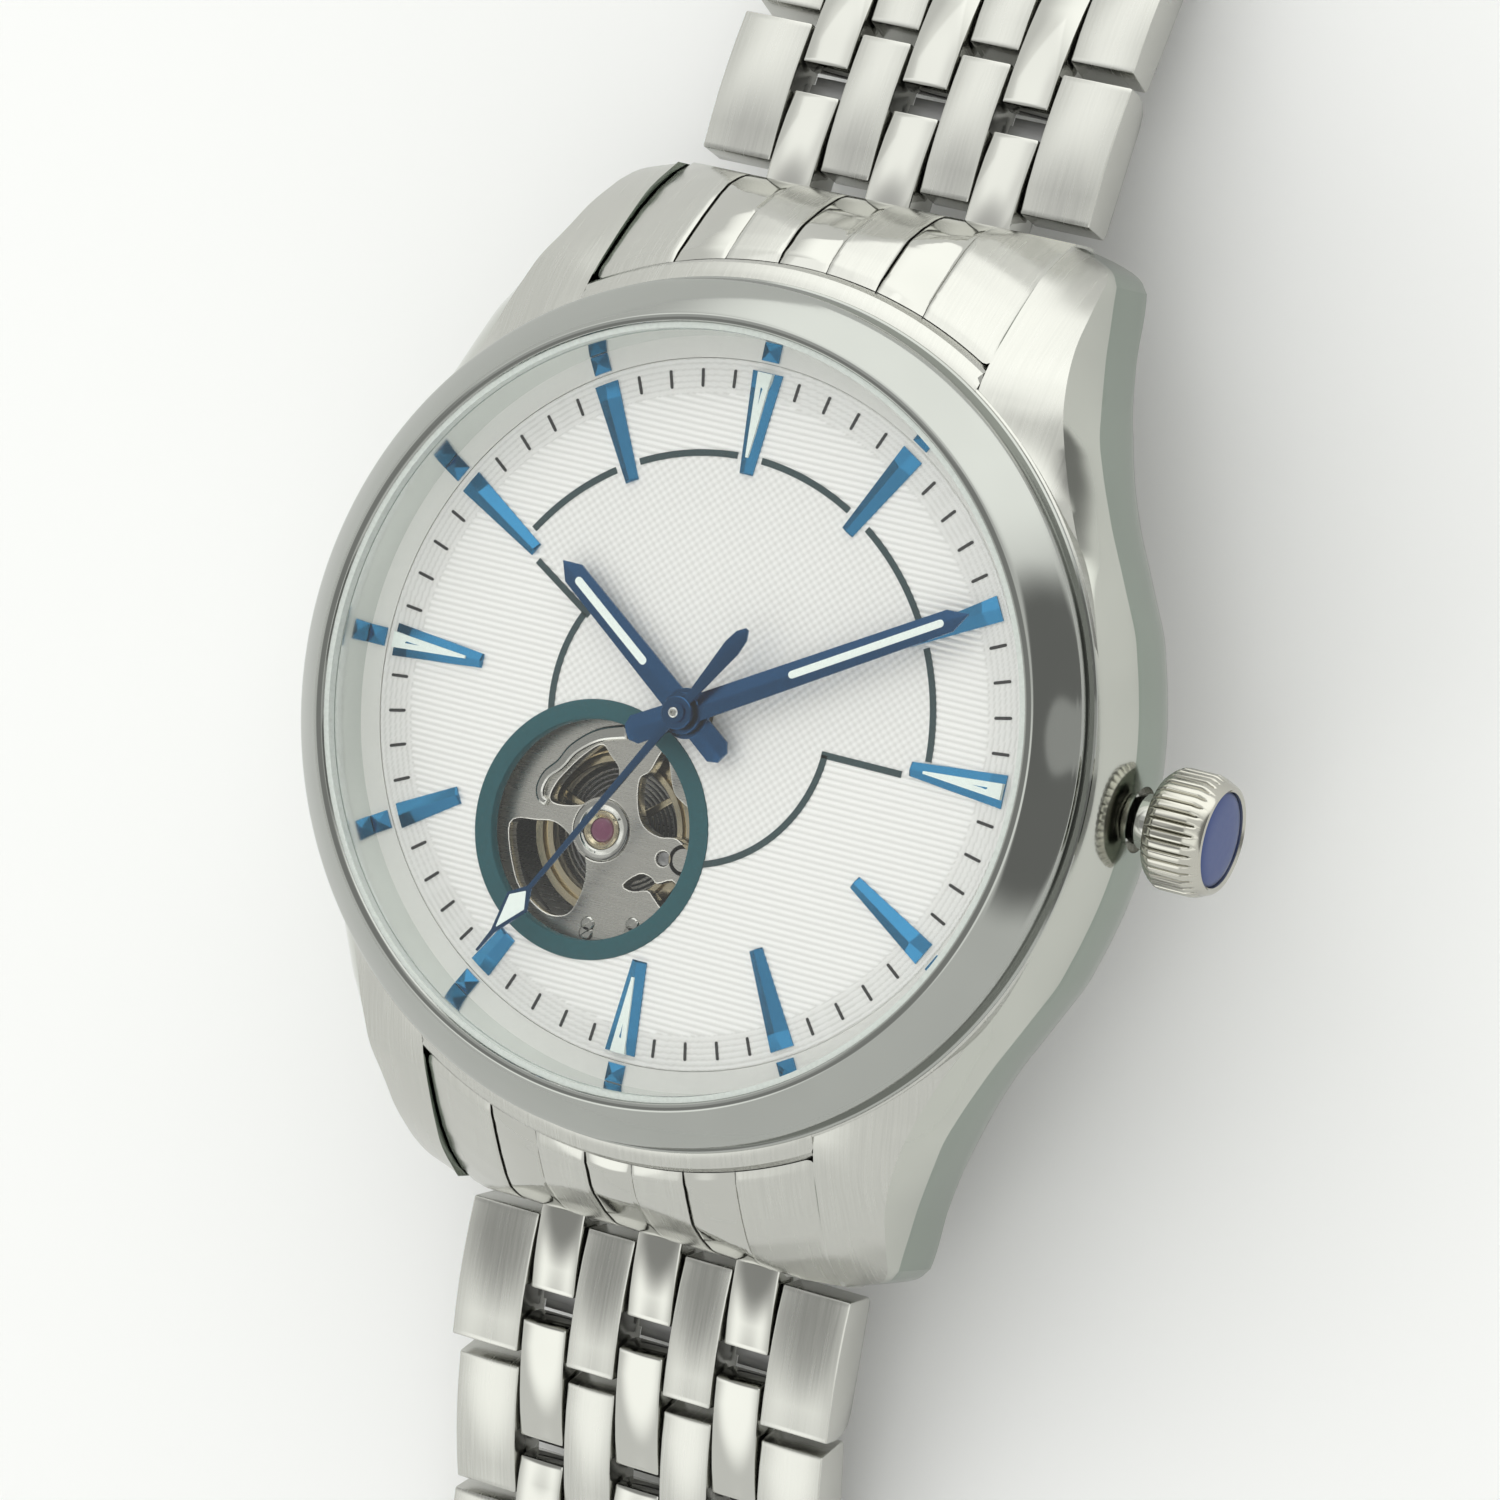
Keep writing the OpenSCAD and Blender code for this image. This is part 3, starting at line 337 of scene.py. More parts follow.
def to_bmesh(shape):
    bm = bmesh.new()
    for v in shape.verts:
        bm.verts.new(v)
    bm.verts.ensure_lookup_table()
    for f, s in zip(shape.faces, shape.slots):
        bm.faces.new([bm.verts[i] for i in f]).material_index = s
    bmesh.ops.recalc_face_normals(bm, faces=bm.faces)
    return bm


def from_bmesh(bm):
    out = Shape()
    bm.verts.index_update()
    out.verts = [tuple(v.co) for v in bm.verts]
    out.faces = [tuple(v.index for v in f.verts) for f in bm.faces]
    out.slots = [f.material_index for f in bm.faces]
    bm.free()
    return out


def round_edges(bm, width, angle):
    """Bevels the edges that turn by more than angle degrees."""
    sharp = [e for e in bm.edges if len(e.link_faces) == 2 and e.calc_face_angle(0) > math.radians(angle)]
    bmesh.ops.bevel(bm, geom=sharp, offset=width, segments=2, profile=0.5, affect="EDGES", clamp_overlap=True)


def evaluated(obj):
    """The finished mesh of an object with modifiers or a curve, as a shape; the object is removed."""
    bpy.context.collection.objects.link(obj)
    data = bpy.data.meshes.new_from_object(obj.evaluated_get(bpy.context.evaluated_depsgraph_get()))
    bm = bmesh.new()
    bm.from_mesh(data)
    bpy.data.objects.remove(obj)
    bpy.data.meshes.remove(data)
    return from_bmesh(bm)


def as_object(shape, name):
    data = bpy.data.meshes.new(name)
    bm = to_bmesh(shape)
    bm.to_mesh(data)
    bm.free()
    return bpy.data.objects.new(name, data)


def cut(shape, cutter):
    """Takes one closed shape out of another."""
    tool = as_object(cutter, "tool")
    bpy.context.collection.objects.link(tool)
    obj = as_object(shape, "blank")
    modifier = obj.modifiers.new("cut", "BOOLEAN")
    modifier.operation = "DIFFERENCE"
    modifier.solver = "EXACT"
    modifier.object = tool
    out = evaluated(obj)
    bpy.data.objects.remove(tool)
    return out


def plate(outline, holes, z0, z1, edge=0.03):
    """A flat part with holes and small bevels, from loops of (x, y) points."""
    curve = bpy.data.curves.new("plate_outline", "CURVE")
    curve.dimensions = "2D"
    curve.fill_mode = "BOTH"
    curve.extrude = (z1 - z0) / 2 - edge
    curve.bevel_depth = edge
    curve.bevel_resolution = 1
    curve.offset = -edge
    for loop in (outline, *holes):
        spline = curve.splines.new("POLY")
        spline.points.add(len(loop) - 1)
        for point, (x, y) in zip(spline.points, loop):
            point.co = (x, y, 0, 1)
        spline.use_cyclic_u = True
    shape = evaluated(bpy.data.objects.new("plate_blank", curve))
    return shape.moved(Matrix.Translation((0, 0, (z0 + z1) / 2)))


def turned(profile, steps, *where, **how):
    """One visible piece turned from a profile; where and how go on to Shape.make."""
    Shape().add(*lathe(profile, steps)).make(*where, **how)


def raised(points):
    """Absolute heights for (across, up) points that count up from the dial's top."""
    return [(a, DIAL_Z + z) for a, z in points]


def circle(r, centre=(0, 0), steps=64):
    """A closed ring of points (x, y)."""
    return arc(r, 0, 360 - 360 / steps, steps - 1, centre)


def smooth_loop(points, steps=6, closed=True):
    """A curve through the points, rounded between them."""
    count = len(points)
    out = []
    for i in range(count if closed else count - 1):
        near = range(i - 1, i + 3)
        picked = [k % count if closed else min(max(k, 0), count - 1) for k in near]
        a, b, c, d = (Vector(points[k]) for k in picked)
        for s in range(steps):
            t = s / steps
            out.append(tuple(0.5 * (2 * b + (c - a) * t + (2 * a - 5 * b + 4 * c - d) * t * t
                                    + (3 * b - a - 3 * c + d) * t ** 3)))
    return out if closed else out + [tuple(points[-1])]


def paint(node, material):
    """Gives a CAD node that stays visible its material."""
    data = frame["nodes"][node].data
    data.materials.clear()
    data.materials.append(MAT[material])
    data.shade_smooth()
    data.set_sharp_from_angle(angle=math.radians(25))


# ---- case

# Each table gives a value against the distance from the crown's line, |y|.
LUG_GAP_HALF = 10.05
LUG_TIP_Y = 23.87
BAND_R = 20.45
SEAT_R = 19.45
TOP_INNER_Z = ([0, 16.65, 18.2, 20.7, 22.45, 23.87], [0.2, 0.0, -0.78, -2.8, -4.4, -6.7])
CREST_X = ([8.2, 9.3, 10.5, 11.9, 13.4, 14.95, 16.3, 17.1, 18.36, 19.66, 21.24, 22.5, 22.95, 23.15, 23.87],
           [17.62, 17.05, 16.4, 15.7, 15.0, 14.4, 13.95, 13.7, 13.4, 13.0, 12.75, 12.4, 12.35, 12.1, 10.1])
CREST_Z = ([0, 7, 8.2, 9.3, 10.5, 13.4, 16.3, 17.1, 18.36, 19.66, 21.24, 22.5, 22.95, 23.87],
           [0.2, 0.2, -0.1, -0.4, -0.65, -0.8, -0.95, -1.2, -1.7, -2.8, -4.3, -5.9, -6.6, -7.2])
FLANK_X = ([5.4, 7.85, 9.4, 10.87, 12.0, 13.9, 16.05, 19.65, 22.93, 23.15, 23.87],
           [19.75, 19.0, 18.2, 17.45, 16.85, 16.0, 15.1, 13.5, 12.5, 12.2, 10.15])
FLANK_TOP_Z = ([0, 14, 15.8, 17.9, 20.0, 22.0, 22.93, 23.87],
               [-2.2, -2.25, -2.4, -3.8, -5.3, -6.3, -6.9, -7.5])
FLANK_LOW_Z = ([0, 12, 14, 16, 17, 19.65, 21.5, 22.93, 23.6, 23.87],
               [-4.8, -4.9, -5.1, -5.7, -6.2, -8.4, -9.7, -10.25, -9.8, -8.0])
UNDER_Z = ([0, 14.5, 17.6, 19.6, 22.4, 23.1, 23.6, 23.87],
           [-7.2, -7.2, -7.8, -8.9, -10.28, -10.28, -9.9, -8.2])
UNDER_INSET = ([0, 13, 17, 20, 23.87], [1.6, 1.4, 0.6, 0.35, 0.12])
ROUNDNESS = ([0, 8, 15], [0.4, 0.3, 0.15])
TOP_STEPS, SHOULDER_STEPS, FLANK_STEPS, UNDER_STEPS = 6, 8, 5, 5
TOP_CROWN, FLANK_BULGE = 0.035, 0.04
STATIONS = [*np.arange(0, 22.8, 0.3), 22.93, 23.0, 23.08, 23.15, 23.3, 23.45, 23.6, 23.72, 23.8, LUG_TIP_Y]

# Profiles as (radius, height above the dial).
BAND = [(17.4, 0.2), (19.3, 0.2), (19.47, 0.12), (19.6, 0), (19.6, -6.6), (18.9, -7.6), (18.4, -8.8),
        (17.4, -8.8)]
BAND_SHOULDER = [(19.44, 0.13), (19.7, 0.02), (19.95, -0.15), (20.2, -0.35), (20.33, -0.6), (20.38, -1.0),
                 (20.38, -4.8), (19.5, -6.6)]
BAND_SHOULDER_HALF = 31  # degrees to each side of 12 and 6 o'clock
CROWN_RECESS_R, CROWN_RECESS_X = 1.5, 19.75


def along(table, y, reach=0.5):
    """Reads a table at y, smoothed over a short reach but exact at the lug's tip."""
    reach = min(reach, (LUG_TIP_Y - y) * 0.5)
    return sum(np.interp(y + d, *table) for d in np.linspace(-reach, reach, 9)) / 9


def chord(r, y):
    """Distance in x from the middle to a circle of radius r, at y."""
    return math.sqrt(max(0.0, r * r - y * y))


def case_section(y):
    """Points of the case's side at y: top, shoulder or facet, flank, underside and inner face."""
    x_in = max(LUG_GAP_HALF, chord(SEAT_R, y))
    crest_x = max(along(CREST_X, y) if y > CREST_X[0][0] else 0, x_in + 0.02)
    flank_x = along(FLANK_X, y) if y > FLANK_X[0][0] else chord(BAND_R, y)
    top_z, crest_z, flank_z = along(TOP_INNER_Z, y), along(CREST_Z, y), along(FLANK_TOP_Z, y)
    low_z, under_z, inset = along(FLANK_LOW_Z, y), along(UNDER_Z, y), along(UNDER_INSET, y)
    points = []
    for t in np.linspace(0, 1, TOP_STEPS + 1):
        crown = TOP_CROWN * (crest_x - x_in) * math.sin(math.pi * t)
        points.append((x_in + (crest_x - x_in) * t, top_z + (crest_z - top_z) * t + crown))
    round_part = np.interp(y, *ROUNDNESS)
    for t in np.linspace(0, 1, SHOULDER_STEPS + 1)[1:]:
        a = t * math.pi / 2
        x = crest_x + (flank_x - crest_x) * (t + (math.sin(a) - t) * round_part)
        z = crest_z + (flank_z - crest_z) * (t + (1 - math.cos(a) - t) * round_part)
        points.append((x, z))
    for t in np.linspace(0, 1, FLANK_STEPS + 1)[1:]:
        points.append((flank_x + FLANK_BULGE * math.sin(math.pi * t), flank_z + (low_z - flank_z) * t))
    for t in np.linspace(0, 1, UNDER_STEPS + 1)[1:]:
        a = t * math.pi / 2
        points.append((flank_x - inset * (1 - math.cos(a)), low_z + (under_z - low_z) * math.sin(a)))
    points.append((x_in, under_z))
    return points


def case_side(sign):
    """The case's side from lug tip to lug tip: brushed top, bright shoulder, polished flank in painted shade.
    """
    both = [-y for y in reversed(STATIONS[1:])] + STATIONS
    rings = [[(sign * x, y, z) for x, z in raised(case_section(abs(y)))] for y in both]
    rest = len(rings[0]) - TOP_STEPS - SHOULDER_STEPS
    slots = ([0] * TOP_STEPS + [2] * SHOULDER_STEPS + [1] * rest) * (len(rings) - 1) + [1, 1]
    return Shape().add(*loft(rings), slot=slots)


def make_case():
    """The round band between the lugs, the two sides with the lugs, and a recess behind the crown."""
    low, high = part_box("crown_tube")
    centre_z = (low.z + high.z) / 2 / MM
    ring = circle(CROWN_RECESS_R, steps=96)
    outside = CROWN_RECESS_X + 5
    recess = Shape().add(*loft([[(x, a, centre_z + b) for a, b in ring] for x in (CROWN_RECESS_X, outside)]))
    shape = Shape().add(*lathe(raised(BAND), 256))
    for middle in (90, 270):
        start, sweep = middle - BAND_SHOULDER_HALF, 2 * BAND_SHOULDER_HALF
        verts, faces = lathe(raised(BAND_SHOULDER), 48, start, sweep)
        shape.add([(np.clip(x, -LUG_GAP_HALF, LUG_GAP_HALF), y, z) for x, y, z in verts], faces)
    for side in (cut(case_side(1), recess), case_side(-1)):
        shape.join(side)
    # Slot 1, the flank, carries painted shade.
    shape.make("case_body", "head", ["brushed", "flank", "shoulder"], replaces=["case_middle"],
               slot="steel", smooth=16)


BEZEL_TOP = [(17.25, 0.25), (17.25, 2.86), (17.3, 2.93), (17.4, 2.96), (17.58, 2.96), (17.68, 2.92)]
BEZEL_CONE_OUT, BEZEL_CONE_DOWN, BEZEL_CONE_BULGE = 1.55, 1.52, 0.06
BEZEL_FOOT = [(19.29, 1.3), (19.3, 1.2), (19.3, 1.0), (19.27, 0.93), (19.05, 0.72), (19.0, 0.62),
              (19.0, 0.25)]
CASE_RIM = [(19.0, 0.1), (19.0, 0.3), (19.42, 0.3), (19.5, 0.22), (19.52, 0.1)]


def make_bezel():
    """The polished bezel with its slightly bulging cone, and the narrow rim that it stands on."""
    top_r, top_z = BEZEL_TOP[-1]
    cone = []
    for t in np.linspace(0.1, 1, 10):
        bulge = BEZEL_CONE_BULGE * math.sin(math.pi * t)
        cone.append((top_r + BEZEL_CONE_OUT * t, top_z - BEZEL_CONE_DOWN * t + bulge))
    turned(raised(BEZEL_TOP + cone + BEZEL_FOOT), 320, "bezel_ring", "head", ["bezel"], replaces=["bezel"],
           slot="polished_steel", smooth=24)
    turned(raised(CASE_RIM), 320, "case_rim", "head", ["bezel"], slot="polished_steel", smooth=24)


def make_crystal():
    """A thin dome over a flat lower face."""
    low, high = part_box("crystal")
    r, z0, z1 = high.x / MM, low.z / MM, high.z / MM
    rise = 0.3
    edge_z = z1 - rise
    dome = [(r * t, edge_z + rise * (1 - t * t)) for t in np.linspace(0.0005, 0.99, 16)]
    turned(dome + [(r, edge_z - 0.1), (r, z0), (0.01, z0)], 192, "crystal_dome", "head", ["glass"],
           replaces=["crystal"], slot="crystal_glass", smooth=30)


# ---- crown

FLUTES = 36
CROWN_LOW, CROWN_HIGH = (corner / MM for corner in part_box("crown"))
CROWN_R = (CROWN_HIGH.y - CROWN_LOW.y) / 2
CROWN_Z = (CROWN_LOW.z + CROWN_HIGH.z) / 2
FLUTE_DEPTH = 0.24
CAP_R = 0.775  # share of the crown's radius
# Share of the length, share of the radius, and how much of the flutes shows.
CROWN_STATIONS = [(0.0, 0.72, 0), (0.03, 0.86, 0), (0.10, 0.93, 0.3), (0.17, 0.985, 0.9), (0.22, 1.0, 1),
                  (0.70, 1.0, 1), (0.76, 0.985, 0.9), (0.84, 0.95, 0.35), (0.88, 0.93, 0), (0.95, 0.90, 0),
                  (0.985, 0.87, 0), (1.0, 0.83, 0), (0.97, CAP_R + 0.01, 0), (0.90, CAP_R, 0), (0.90, 0.3, 0)]


def crown_ring(x, radius, depth):
    """A ring about the crown's axis; depth is how much of the flutes it shows, from 0 to 1."""
    ring = []
    steps = FLUTES * 10
    for i in range(steps):
        groove = abs(2 * (i / steps * FLUTES % 1.0) - 1) ** 5
        r = CROWN_R * radius - FLUTE_DEPTH * depth * groove
        a = 2 * math.pi * i / steps
        ring.append((x, r * math.cos(a), CROWN_Z + r * math.sin(a)))
    return ring


def make_crown():
    """A fluted drum with a smooth bevel at each end, and a shallow seat for the blue inlay."""
    length = CROWN_HIGH.x - CROWN_LOW.x
    rings = [crown_ring(CROWN_LOW.x + length * t, radius, depth) for t, radius, depth in CROWN_STATIONS]
    Shape().add(*loft(rings)).make(
        "crown_fluted", "crown", ["crown"], replaces=["crown"], slot="polished_steel", smooth=28)
    base = CROWN_LOW.x + length * 0.905
    bulge = 0.22
    rings = [crown_ring(base + bulge * math.sin(a), CAP_R * math.cos(a) ** 0.35, 0)
             for a in np.linspace(0, math.pi / 2, 12)[:-1]]
    Shape().add(*loft(rings)).make(
        "crown_blue_cap", "crown", ["cap_blue"], replaces=["crown_cap"], slot="blue", smooth=60)


def make_crown_tube():
    """The tube under the crown, with a groove and a collar, bored for the stem and its seal."""
    low, high = (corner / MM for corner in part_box("crown_tube"))
    seal_low, seal_high = (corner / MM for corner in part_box("crown_gasket"))
    collar, bore, stem = (high.y - low.y) / 2, (seal_high.y - seal_low.y) / 2 + 0.05, 0.55
    r, x0, x1, step = collar - 0.14, low.x, high.x, seal_low.x - 0.4
    profile = [(stem, x0), (r - 0.05, x0), (r, x0 + 0.05), (r, x1 - 1.2), (r - 0.1, x1 - 1.15),
               (r - 0.1, x1 - 1.0), (r, x1 - 0.95), (r, x1 - 0.65), (collar - 0.04, x1 - 0.65),
               (collar, x1 - 0.61), (collar, x1 - 0.05), (collar - 0.05, x1), (bore, x1), (bore, step),
               (stem, step)]
    shape = Shape().add(*lathe(profile, 96)).moved(Matrix.Rotation(math.pi / 2, 4, "Y"))
    shape.moved(Matrix.Translation((0, 0, CROWN_Z))).make(
        "crown_tube_turned", "head", ["polished"], replaces=["crown_tube"], slot="steel", smooth=30)


# ---- end links

# From x to x, and 1 for the domed polished columns.
END_COLUMNS = ((-9.96, -6.33, 0), (-6.27, -3.83, 1), (-3.77, -1.23, 0), (-1.17, 1.17, 1), (1.23, 3.77, 0),
               (3.83, 6.27, 1), (6.33, 9.96, 0))
END_TOP_BY_R = ([20.3, 20.9, 21.6, 22.6, 23.6, 24.6, 25.4, 26.0],
                [-0.9, -1.2, -1.8, -2.75, -3.8, -5.1, -6.5, -8.0])
END_TOP_BY_Y = ([17, 21.3, 22.3, 23.2, 23.8, 24.05], [0.2, -1.35, -2.6, -4.2, -5.6, -6.7])
END_INNER_R = 20.4
END_FRONT_Y = 24.0
END_CORNER_R = 0.45
END_EDGE_DROP, END_DOME = 0.10, 0.15


def end_top(x, y):
    """Height of an end link: it falls away from the bezel, and faster near its front edge."""
    return min(np.interp(math.hypot(x, y), *END_TOP_BY_R), np.interp(y, *END_TOP_BY_Y))


def end_inner_y(x):
    """The edge by the bezel, with a small rounded corner next to each lug."""
    past = max(0.0, abs(x) - (END_COLUMNS[-1][1] - END_CORNER_R))
    return chord(END_INNER_R, x) + END_CORNER_R - chord(END_CORNER_R, past)


def end_column(x0, x1, domed):
    """One column of an end link: domed or flat across, and following the curve of the case."""
    half, mid = (x1 - x0) / 2, (x0 + x1) / 2
    rings = []
    for s in [-1, -0.97, -0.9, *np.linspace(-0.8, 0.8, 13), 0.9, 0.97, 1]:
        x = mid + half * s
        y_in = end_inner_y(x)
        edge = END_EDGE_DROP * max(0.0, (abs(s) - 0.9) / 0.1) ** 2
        sag = edge + domed * END_DOME * s * s
        ys = np.linspace(y_in, END_FRONT_Y, 30)
        top = [(y, end_top(x, y) - sag * min(1.0, 0.25 + (y - y_in) / 1.2)) for y in ys]
        low = [(END_FRONT_Y, -9.2), (23.5, -10.1), (21.4, -10.1), (y_in, -8.0)]
        rings.append([(x, y, z) for y, z in raised(top + low)])
    return loft(rings)


def make_end_link(name):
    """The end link at 12, or the same one turned round for 6."""
    shape = Shape()
    for x0, x1, domed in END_COLUMNS:
        shape.add(*end_column(x0, x1, domed), slot=domed)
    if name == "6":
        shape.moved(Matrix.Rotation(math.pi, 4, "Z"))
    shape.make(f"end_link_columns_{name}", "head", ["brushed", "polished"], replaces=[f"end_link_{name}"],
               slot="steel", smooth=22)


# ---- dial

RIB_PITCH = 0.29
NAIL_PITCH = 0.42
GROOVE_PITCH = 0.27
TRACK_IN, TRACK_OUT = 14.3, 15.8
BORDER_R, BORDER_LEFT_R, BORDER_RIGHT_R = 11.65, 7.15, 6.7
DIAL_STEP = (0.08, RIB_PITCH / 4)
FLANGE_FOOT = 0.05


def in_centre(x, y, r):
    """True inside the border line, where the fine diagonal pattern is."""
    angle = np.degrees(np.arctan2(y, x))
    upper = (angle > -2) & (angle < 150) & (r < BORDER_R)
    left = (r < BORDER_LEFT_R) & (x < 0)
    right = (r < BORDER_RIGHT_R) & (x >= 0)
    return upper | left | right


def dial_height(x, y):
    """Ribs across the outer zone, a diagonal pattern in the centre and fine circles in the minute track."""
    r = np.hypot(x, y)
    ribs = DIAL_RELIEF * np.cos(2 * np.pi * y / RIB_PITCH)
    rising, falling = (np.cos(2 * np.pi * (x + sign * y) / NAIL_PITCH) for sign in (1, -1))
    nail = DIAL_RELIEF / 2 * (rising + falling)
    track = np.where(np.cos(2 * np.pi * (r - TRACK_IN) / GROOVE_PITCH) > 0.6, -DIAL_RELIEF, 0.0)
    height = np.where(in_centre(x, y, r), nail, ribs)
    height = np.where((r > TRACK_IN) & (r < TRACK_OUT), track, height)
    return np.where(r >= TRACK_OUT, 0.0, height) + DIAL_SKIN


def make_dial():
    """The patterned face of the dial, as one fine sheet on the dial plate."""
    x, y = np.meshgrid(*(np.arange(-DIAL_R - 0.08, DIAL_R + 0.12, step) for step in DIAL_STEP))
    hub_r, window_r = 0.95, HEART_R - 0.4
    r = np.hypot(x, y)
    keep = (r < DIAL_R) & (r > hub_r) & (np.hypot(x - HEART[0], y - HEART[1]) > window_r)
    numbers = -np.ones(x.shape, int)
    numbers[keep] = np.arange(keep.sum())
    verts = np.column_stack([x[keep], y[keep], dial_height(x[keep], y[keep]) + DIAL_Z])
    a, b, c, d = numbers[:-1, :-1], numbers[:-1, 1:], numbers[1:, 1:], numbers[1:, :-1]
    whole = (a >= 0) & (b >= 0) & (c >= 0) & (d >= 0)
    faces = np.column_stack([a[whole], b[whole], c[whole], d[whole]]).tolist()
    # The face's material paints shade into the grooves of its pattern.
    piece("dial_face", verts.tolist(), faces, "head", ["dial_painted_groove_shade"], slot="dial_silver", smooth=180)


def make_flange():
    """The flat foot round the dial and the polished wall up to the crystal."""
    profile = [(15.9, -0.4), (15.9, FLANGE_FOOT), (16.87, FLANGE_FOOT), (16.95, 2.3), (17.2, 2.3),
               (17.2, -0.4)]
    steps = 256
    shape = Shape().add(*lathe(raised(profile), steps), slot=[0, 0, 1, 1, 1, 0] * steps)
    shape.make("flange_wall", "head", ["dial", "rehaut"], replaces=["flange_ring"], slot="dial_silver",
               smooth=20)


STUD_MID_R, STUD_W, STUD_EDGE, STUD_HIGH = 16.42, 0.84, 0.1, 0.4


def make_studs():
    """Twelve square studs with pyramid tops on the flange's foot."""
    shape = Shape()
    half = STUD_W / 2
    for hour in range(12):
        rings = []
        for w, z in ((half, FLANGE_FOOT), (half, FLANGE_FOOT + STUD_EDGE), (0.012, STUD_HIGH)):
            ring = [(a * w, STUD_MID_R + b * w, DIAL_Z + z) for a, b in ((-1, -1), (1, -1), (1, 1), (-1, 1))]
            rings.append(spin(ring, 30 * hour))
        shape.add(*loft(rings))
    shape.make("flange_pyramids", "head", ["blue"], replaces=["flange_studs"], slot="blue", smooth=10)


def make_heart_ring():
    """The lacquered ring round the window, with softened edges and a foot through the dial."""
    inner = HEART_R - 0.9
    profile = [(inner, -0.4), (inner, 0.10), (inner + 0.04, 0.16), (inner + 0.12, 0.18),
               (HEART_R - 0.1, 0.13), (HEART_R - 0.02, 0.09), (HEART_R, 0.05), (HEART_R, 0.005),
               (inner + 0.25, 0.005), (inner + 0.25, -0.4)]
    Shape().add(*lathe(raised(profile), 192, centre=HEART)).make(
        "heart_ring", "head", ["teal"], replaces=["open_heart_ring"], slot="teal", smooth=35)


def tick_outline(half_w, half_l):
    """A bar along Y with round ends."""
    return [p for start, y in ((0, half_l - half_w), (180, half_w - half_l))
            for p in arc(half_w, start, start + 180, 6, (0, y))]


PRINT_HIGH = 0.05


def make_minute_track():
    """The printed minute marks between the hours."""
    shape = Shape()
    for minute in range(60):
        if minute % 5:
            outline = spin([(x, y + 15.0) for x, y in tick_outline(0.07, 0.42)], 6 * minute)
            shape.add(*prism(outline, DIAL_Z, DIAL_Z + PRINT_HIGH))
    shape.make("minute_track", "head", ["black"], slot="rubber")


LINE_W = 0.3
LINE_HIGH = 0.07


def line_arc(r, a, b):
    """Outline of a printed arc of radius r from a to b degrees."""
    return arc(r + LINE_W / 2, a, b) + arc(r - LINE_W / 2, b, a)


def bar(p, q, width=LINE_W):
    """Outline of a straight bar from p to q."""
    d = (Vector(q) - Vector(p)).normalized() * width / 2
    n = Vector((-d.y, d.x))
    return [tuple(Vector(p) + n), tuple(Vector(q) + n), tuple(Vector(q) - n), tuple(Vector(p) - n)]


def make_border():
    """The printed line round the patterned centre of the dial."""
    shape = Shape()
    gap, first_gap = 3.0, 2.3
    starts = (first_gap, 30 + gap, 60 + gap, 90 + gap, 120 + gap)
    outlines = [line_arc(BORDER_R, a, 30 * k - gap) for k, a in enumerate(starts, 1)]
    outlines += [bar((-9.25, 5.0), (-6.15, 3.15)), line_arc(BORDER_LEFT_R, 153.5, 193),
                 bar((6.53, -0.35), (10.5, -0.35)), line_arc(BORDER_RIGHT_R, -3, -73)]
    for outline in outlines:
        shape.add(*prism(outline, DIAL_Z, DIAL_Z + LINE_HIGH))
    shape.make("dial_border_line", "head", ["line"], slot="teal")


MARKER_OUT, MARKER_IN, MARKER_EDGE, MARKER_HIGH = 15.5, 10.9, 0.1, 0.42
MARKER_IN_HALF = 0.32
SHORT_MARKERS = {6: 11.28, 7: 13.45, 8: 12.3}  # hours cut short by the window, and where they start


def marker_half(hour, r):
    """Half the width of a marker at radius r; the ones at 12, 3, 6 and 9 are wider outside."""
    wide = 0.75 if hour % 3 == 0 else 0.58
    return MARKER_IN_HALF + (wide - MARKER_IN_HALF) * (r - MARKER_IN) / (MARKER_OUT - MARKER_IN)


def make_markers():
    """Applied wedges: two long facets that meet in a ridge, and a sloping facet at the outer end."""
    blue, lume = Shape(), Shape()
    for hour in range(1, 13):
        start = SHORT_MARKERS.get(hour, MARKER_IN)
        low, edge, top = DIAL_Z + 0.006, DIAL_Z + MARKER_EDGE, DIAL_Z + MARKER_HIGH
        rings = []
        for r, lift in ((start, 0.3), (start + 0.06, 0.75), (MARKER_OUT - 0.75, 1.0), (MARKER_OUT, 0.1)):
            w = marker_half(hour, r)
            ridge = edge + (top - edge) * lift
            ring = [(-w, r, low), (w, r, low), (w, r, edge), (0, r, ridge), (-w, r, edge)]
            rings.append(spin(ring, 30 * hour))
        blue.add(*loft(rings))
        if hour % 3 == 0:
            inner, outer = start + 0.75, MARKER_OUT - 0.02
            strip = [[(-w, r, edge), (w, r, edge), (w, r, z), (-w, r, z)]
                     for w, r, z in ((0.06, inner, top + 0.01), (0.36, outer, top - 0.03))]
            lume.add(*loft([spin(ring, 30 * hour) for ring in strip]))
    blue.make("applied_markers", "head", ["blue"], replaces=["hour_markers"], slot="blue", smooth=15)
    lume.make("marker_lume", "head", ["lume"], slot="dial_silver", smooth=15)


# ---- hands

HOUR_AT, MINUTE_AT, SECOND_AT = 305, 60, 210
# Name, degrees clockwise, stations of (distance, half width), bore and hub, strip from, to and half width.
HANDS = (("hour", HOUR_AT, [(-2.68, 0.3), (-2.3, 0.64), (0, 0.62), (8.5, 0.55), (9.28, 0.01)],
          (0.87, 1.14), (3.0, 8.2, 0.19)),
         ("minute", MINUTE_AT, [(-2.83, 0.35), (-2.45, 0.66), (0, 0.6), (13.55, 0.5), (14.48, 0.01)],
          (0.61, 0.94), (5.5, 13.3, 0.17)))


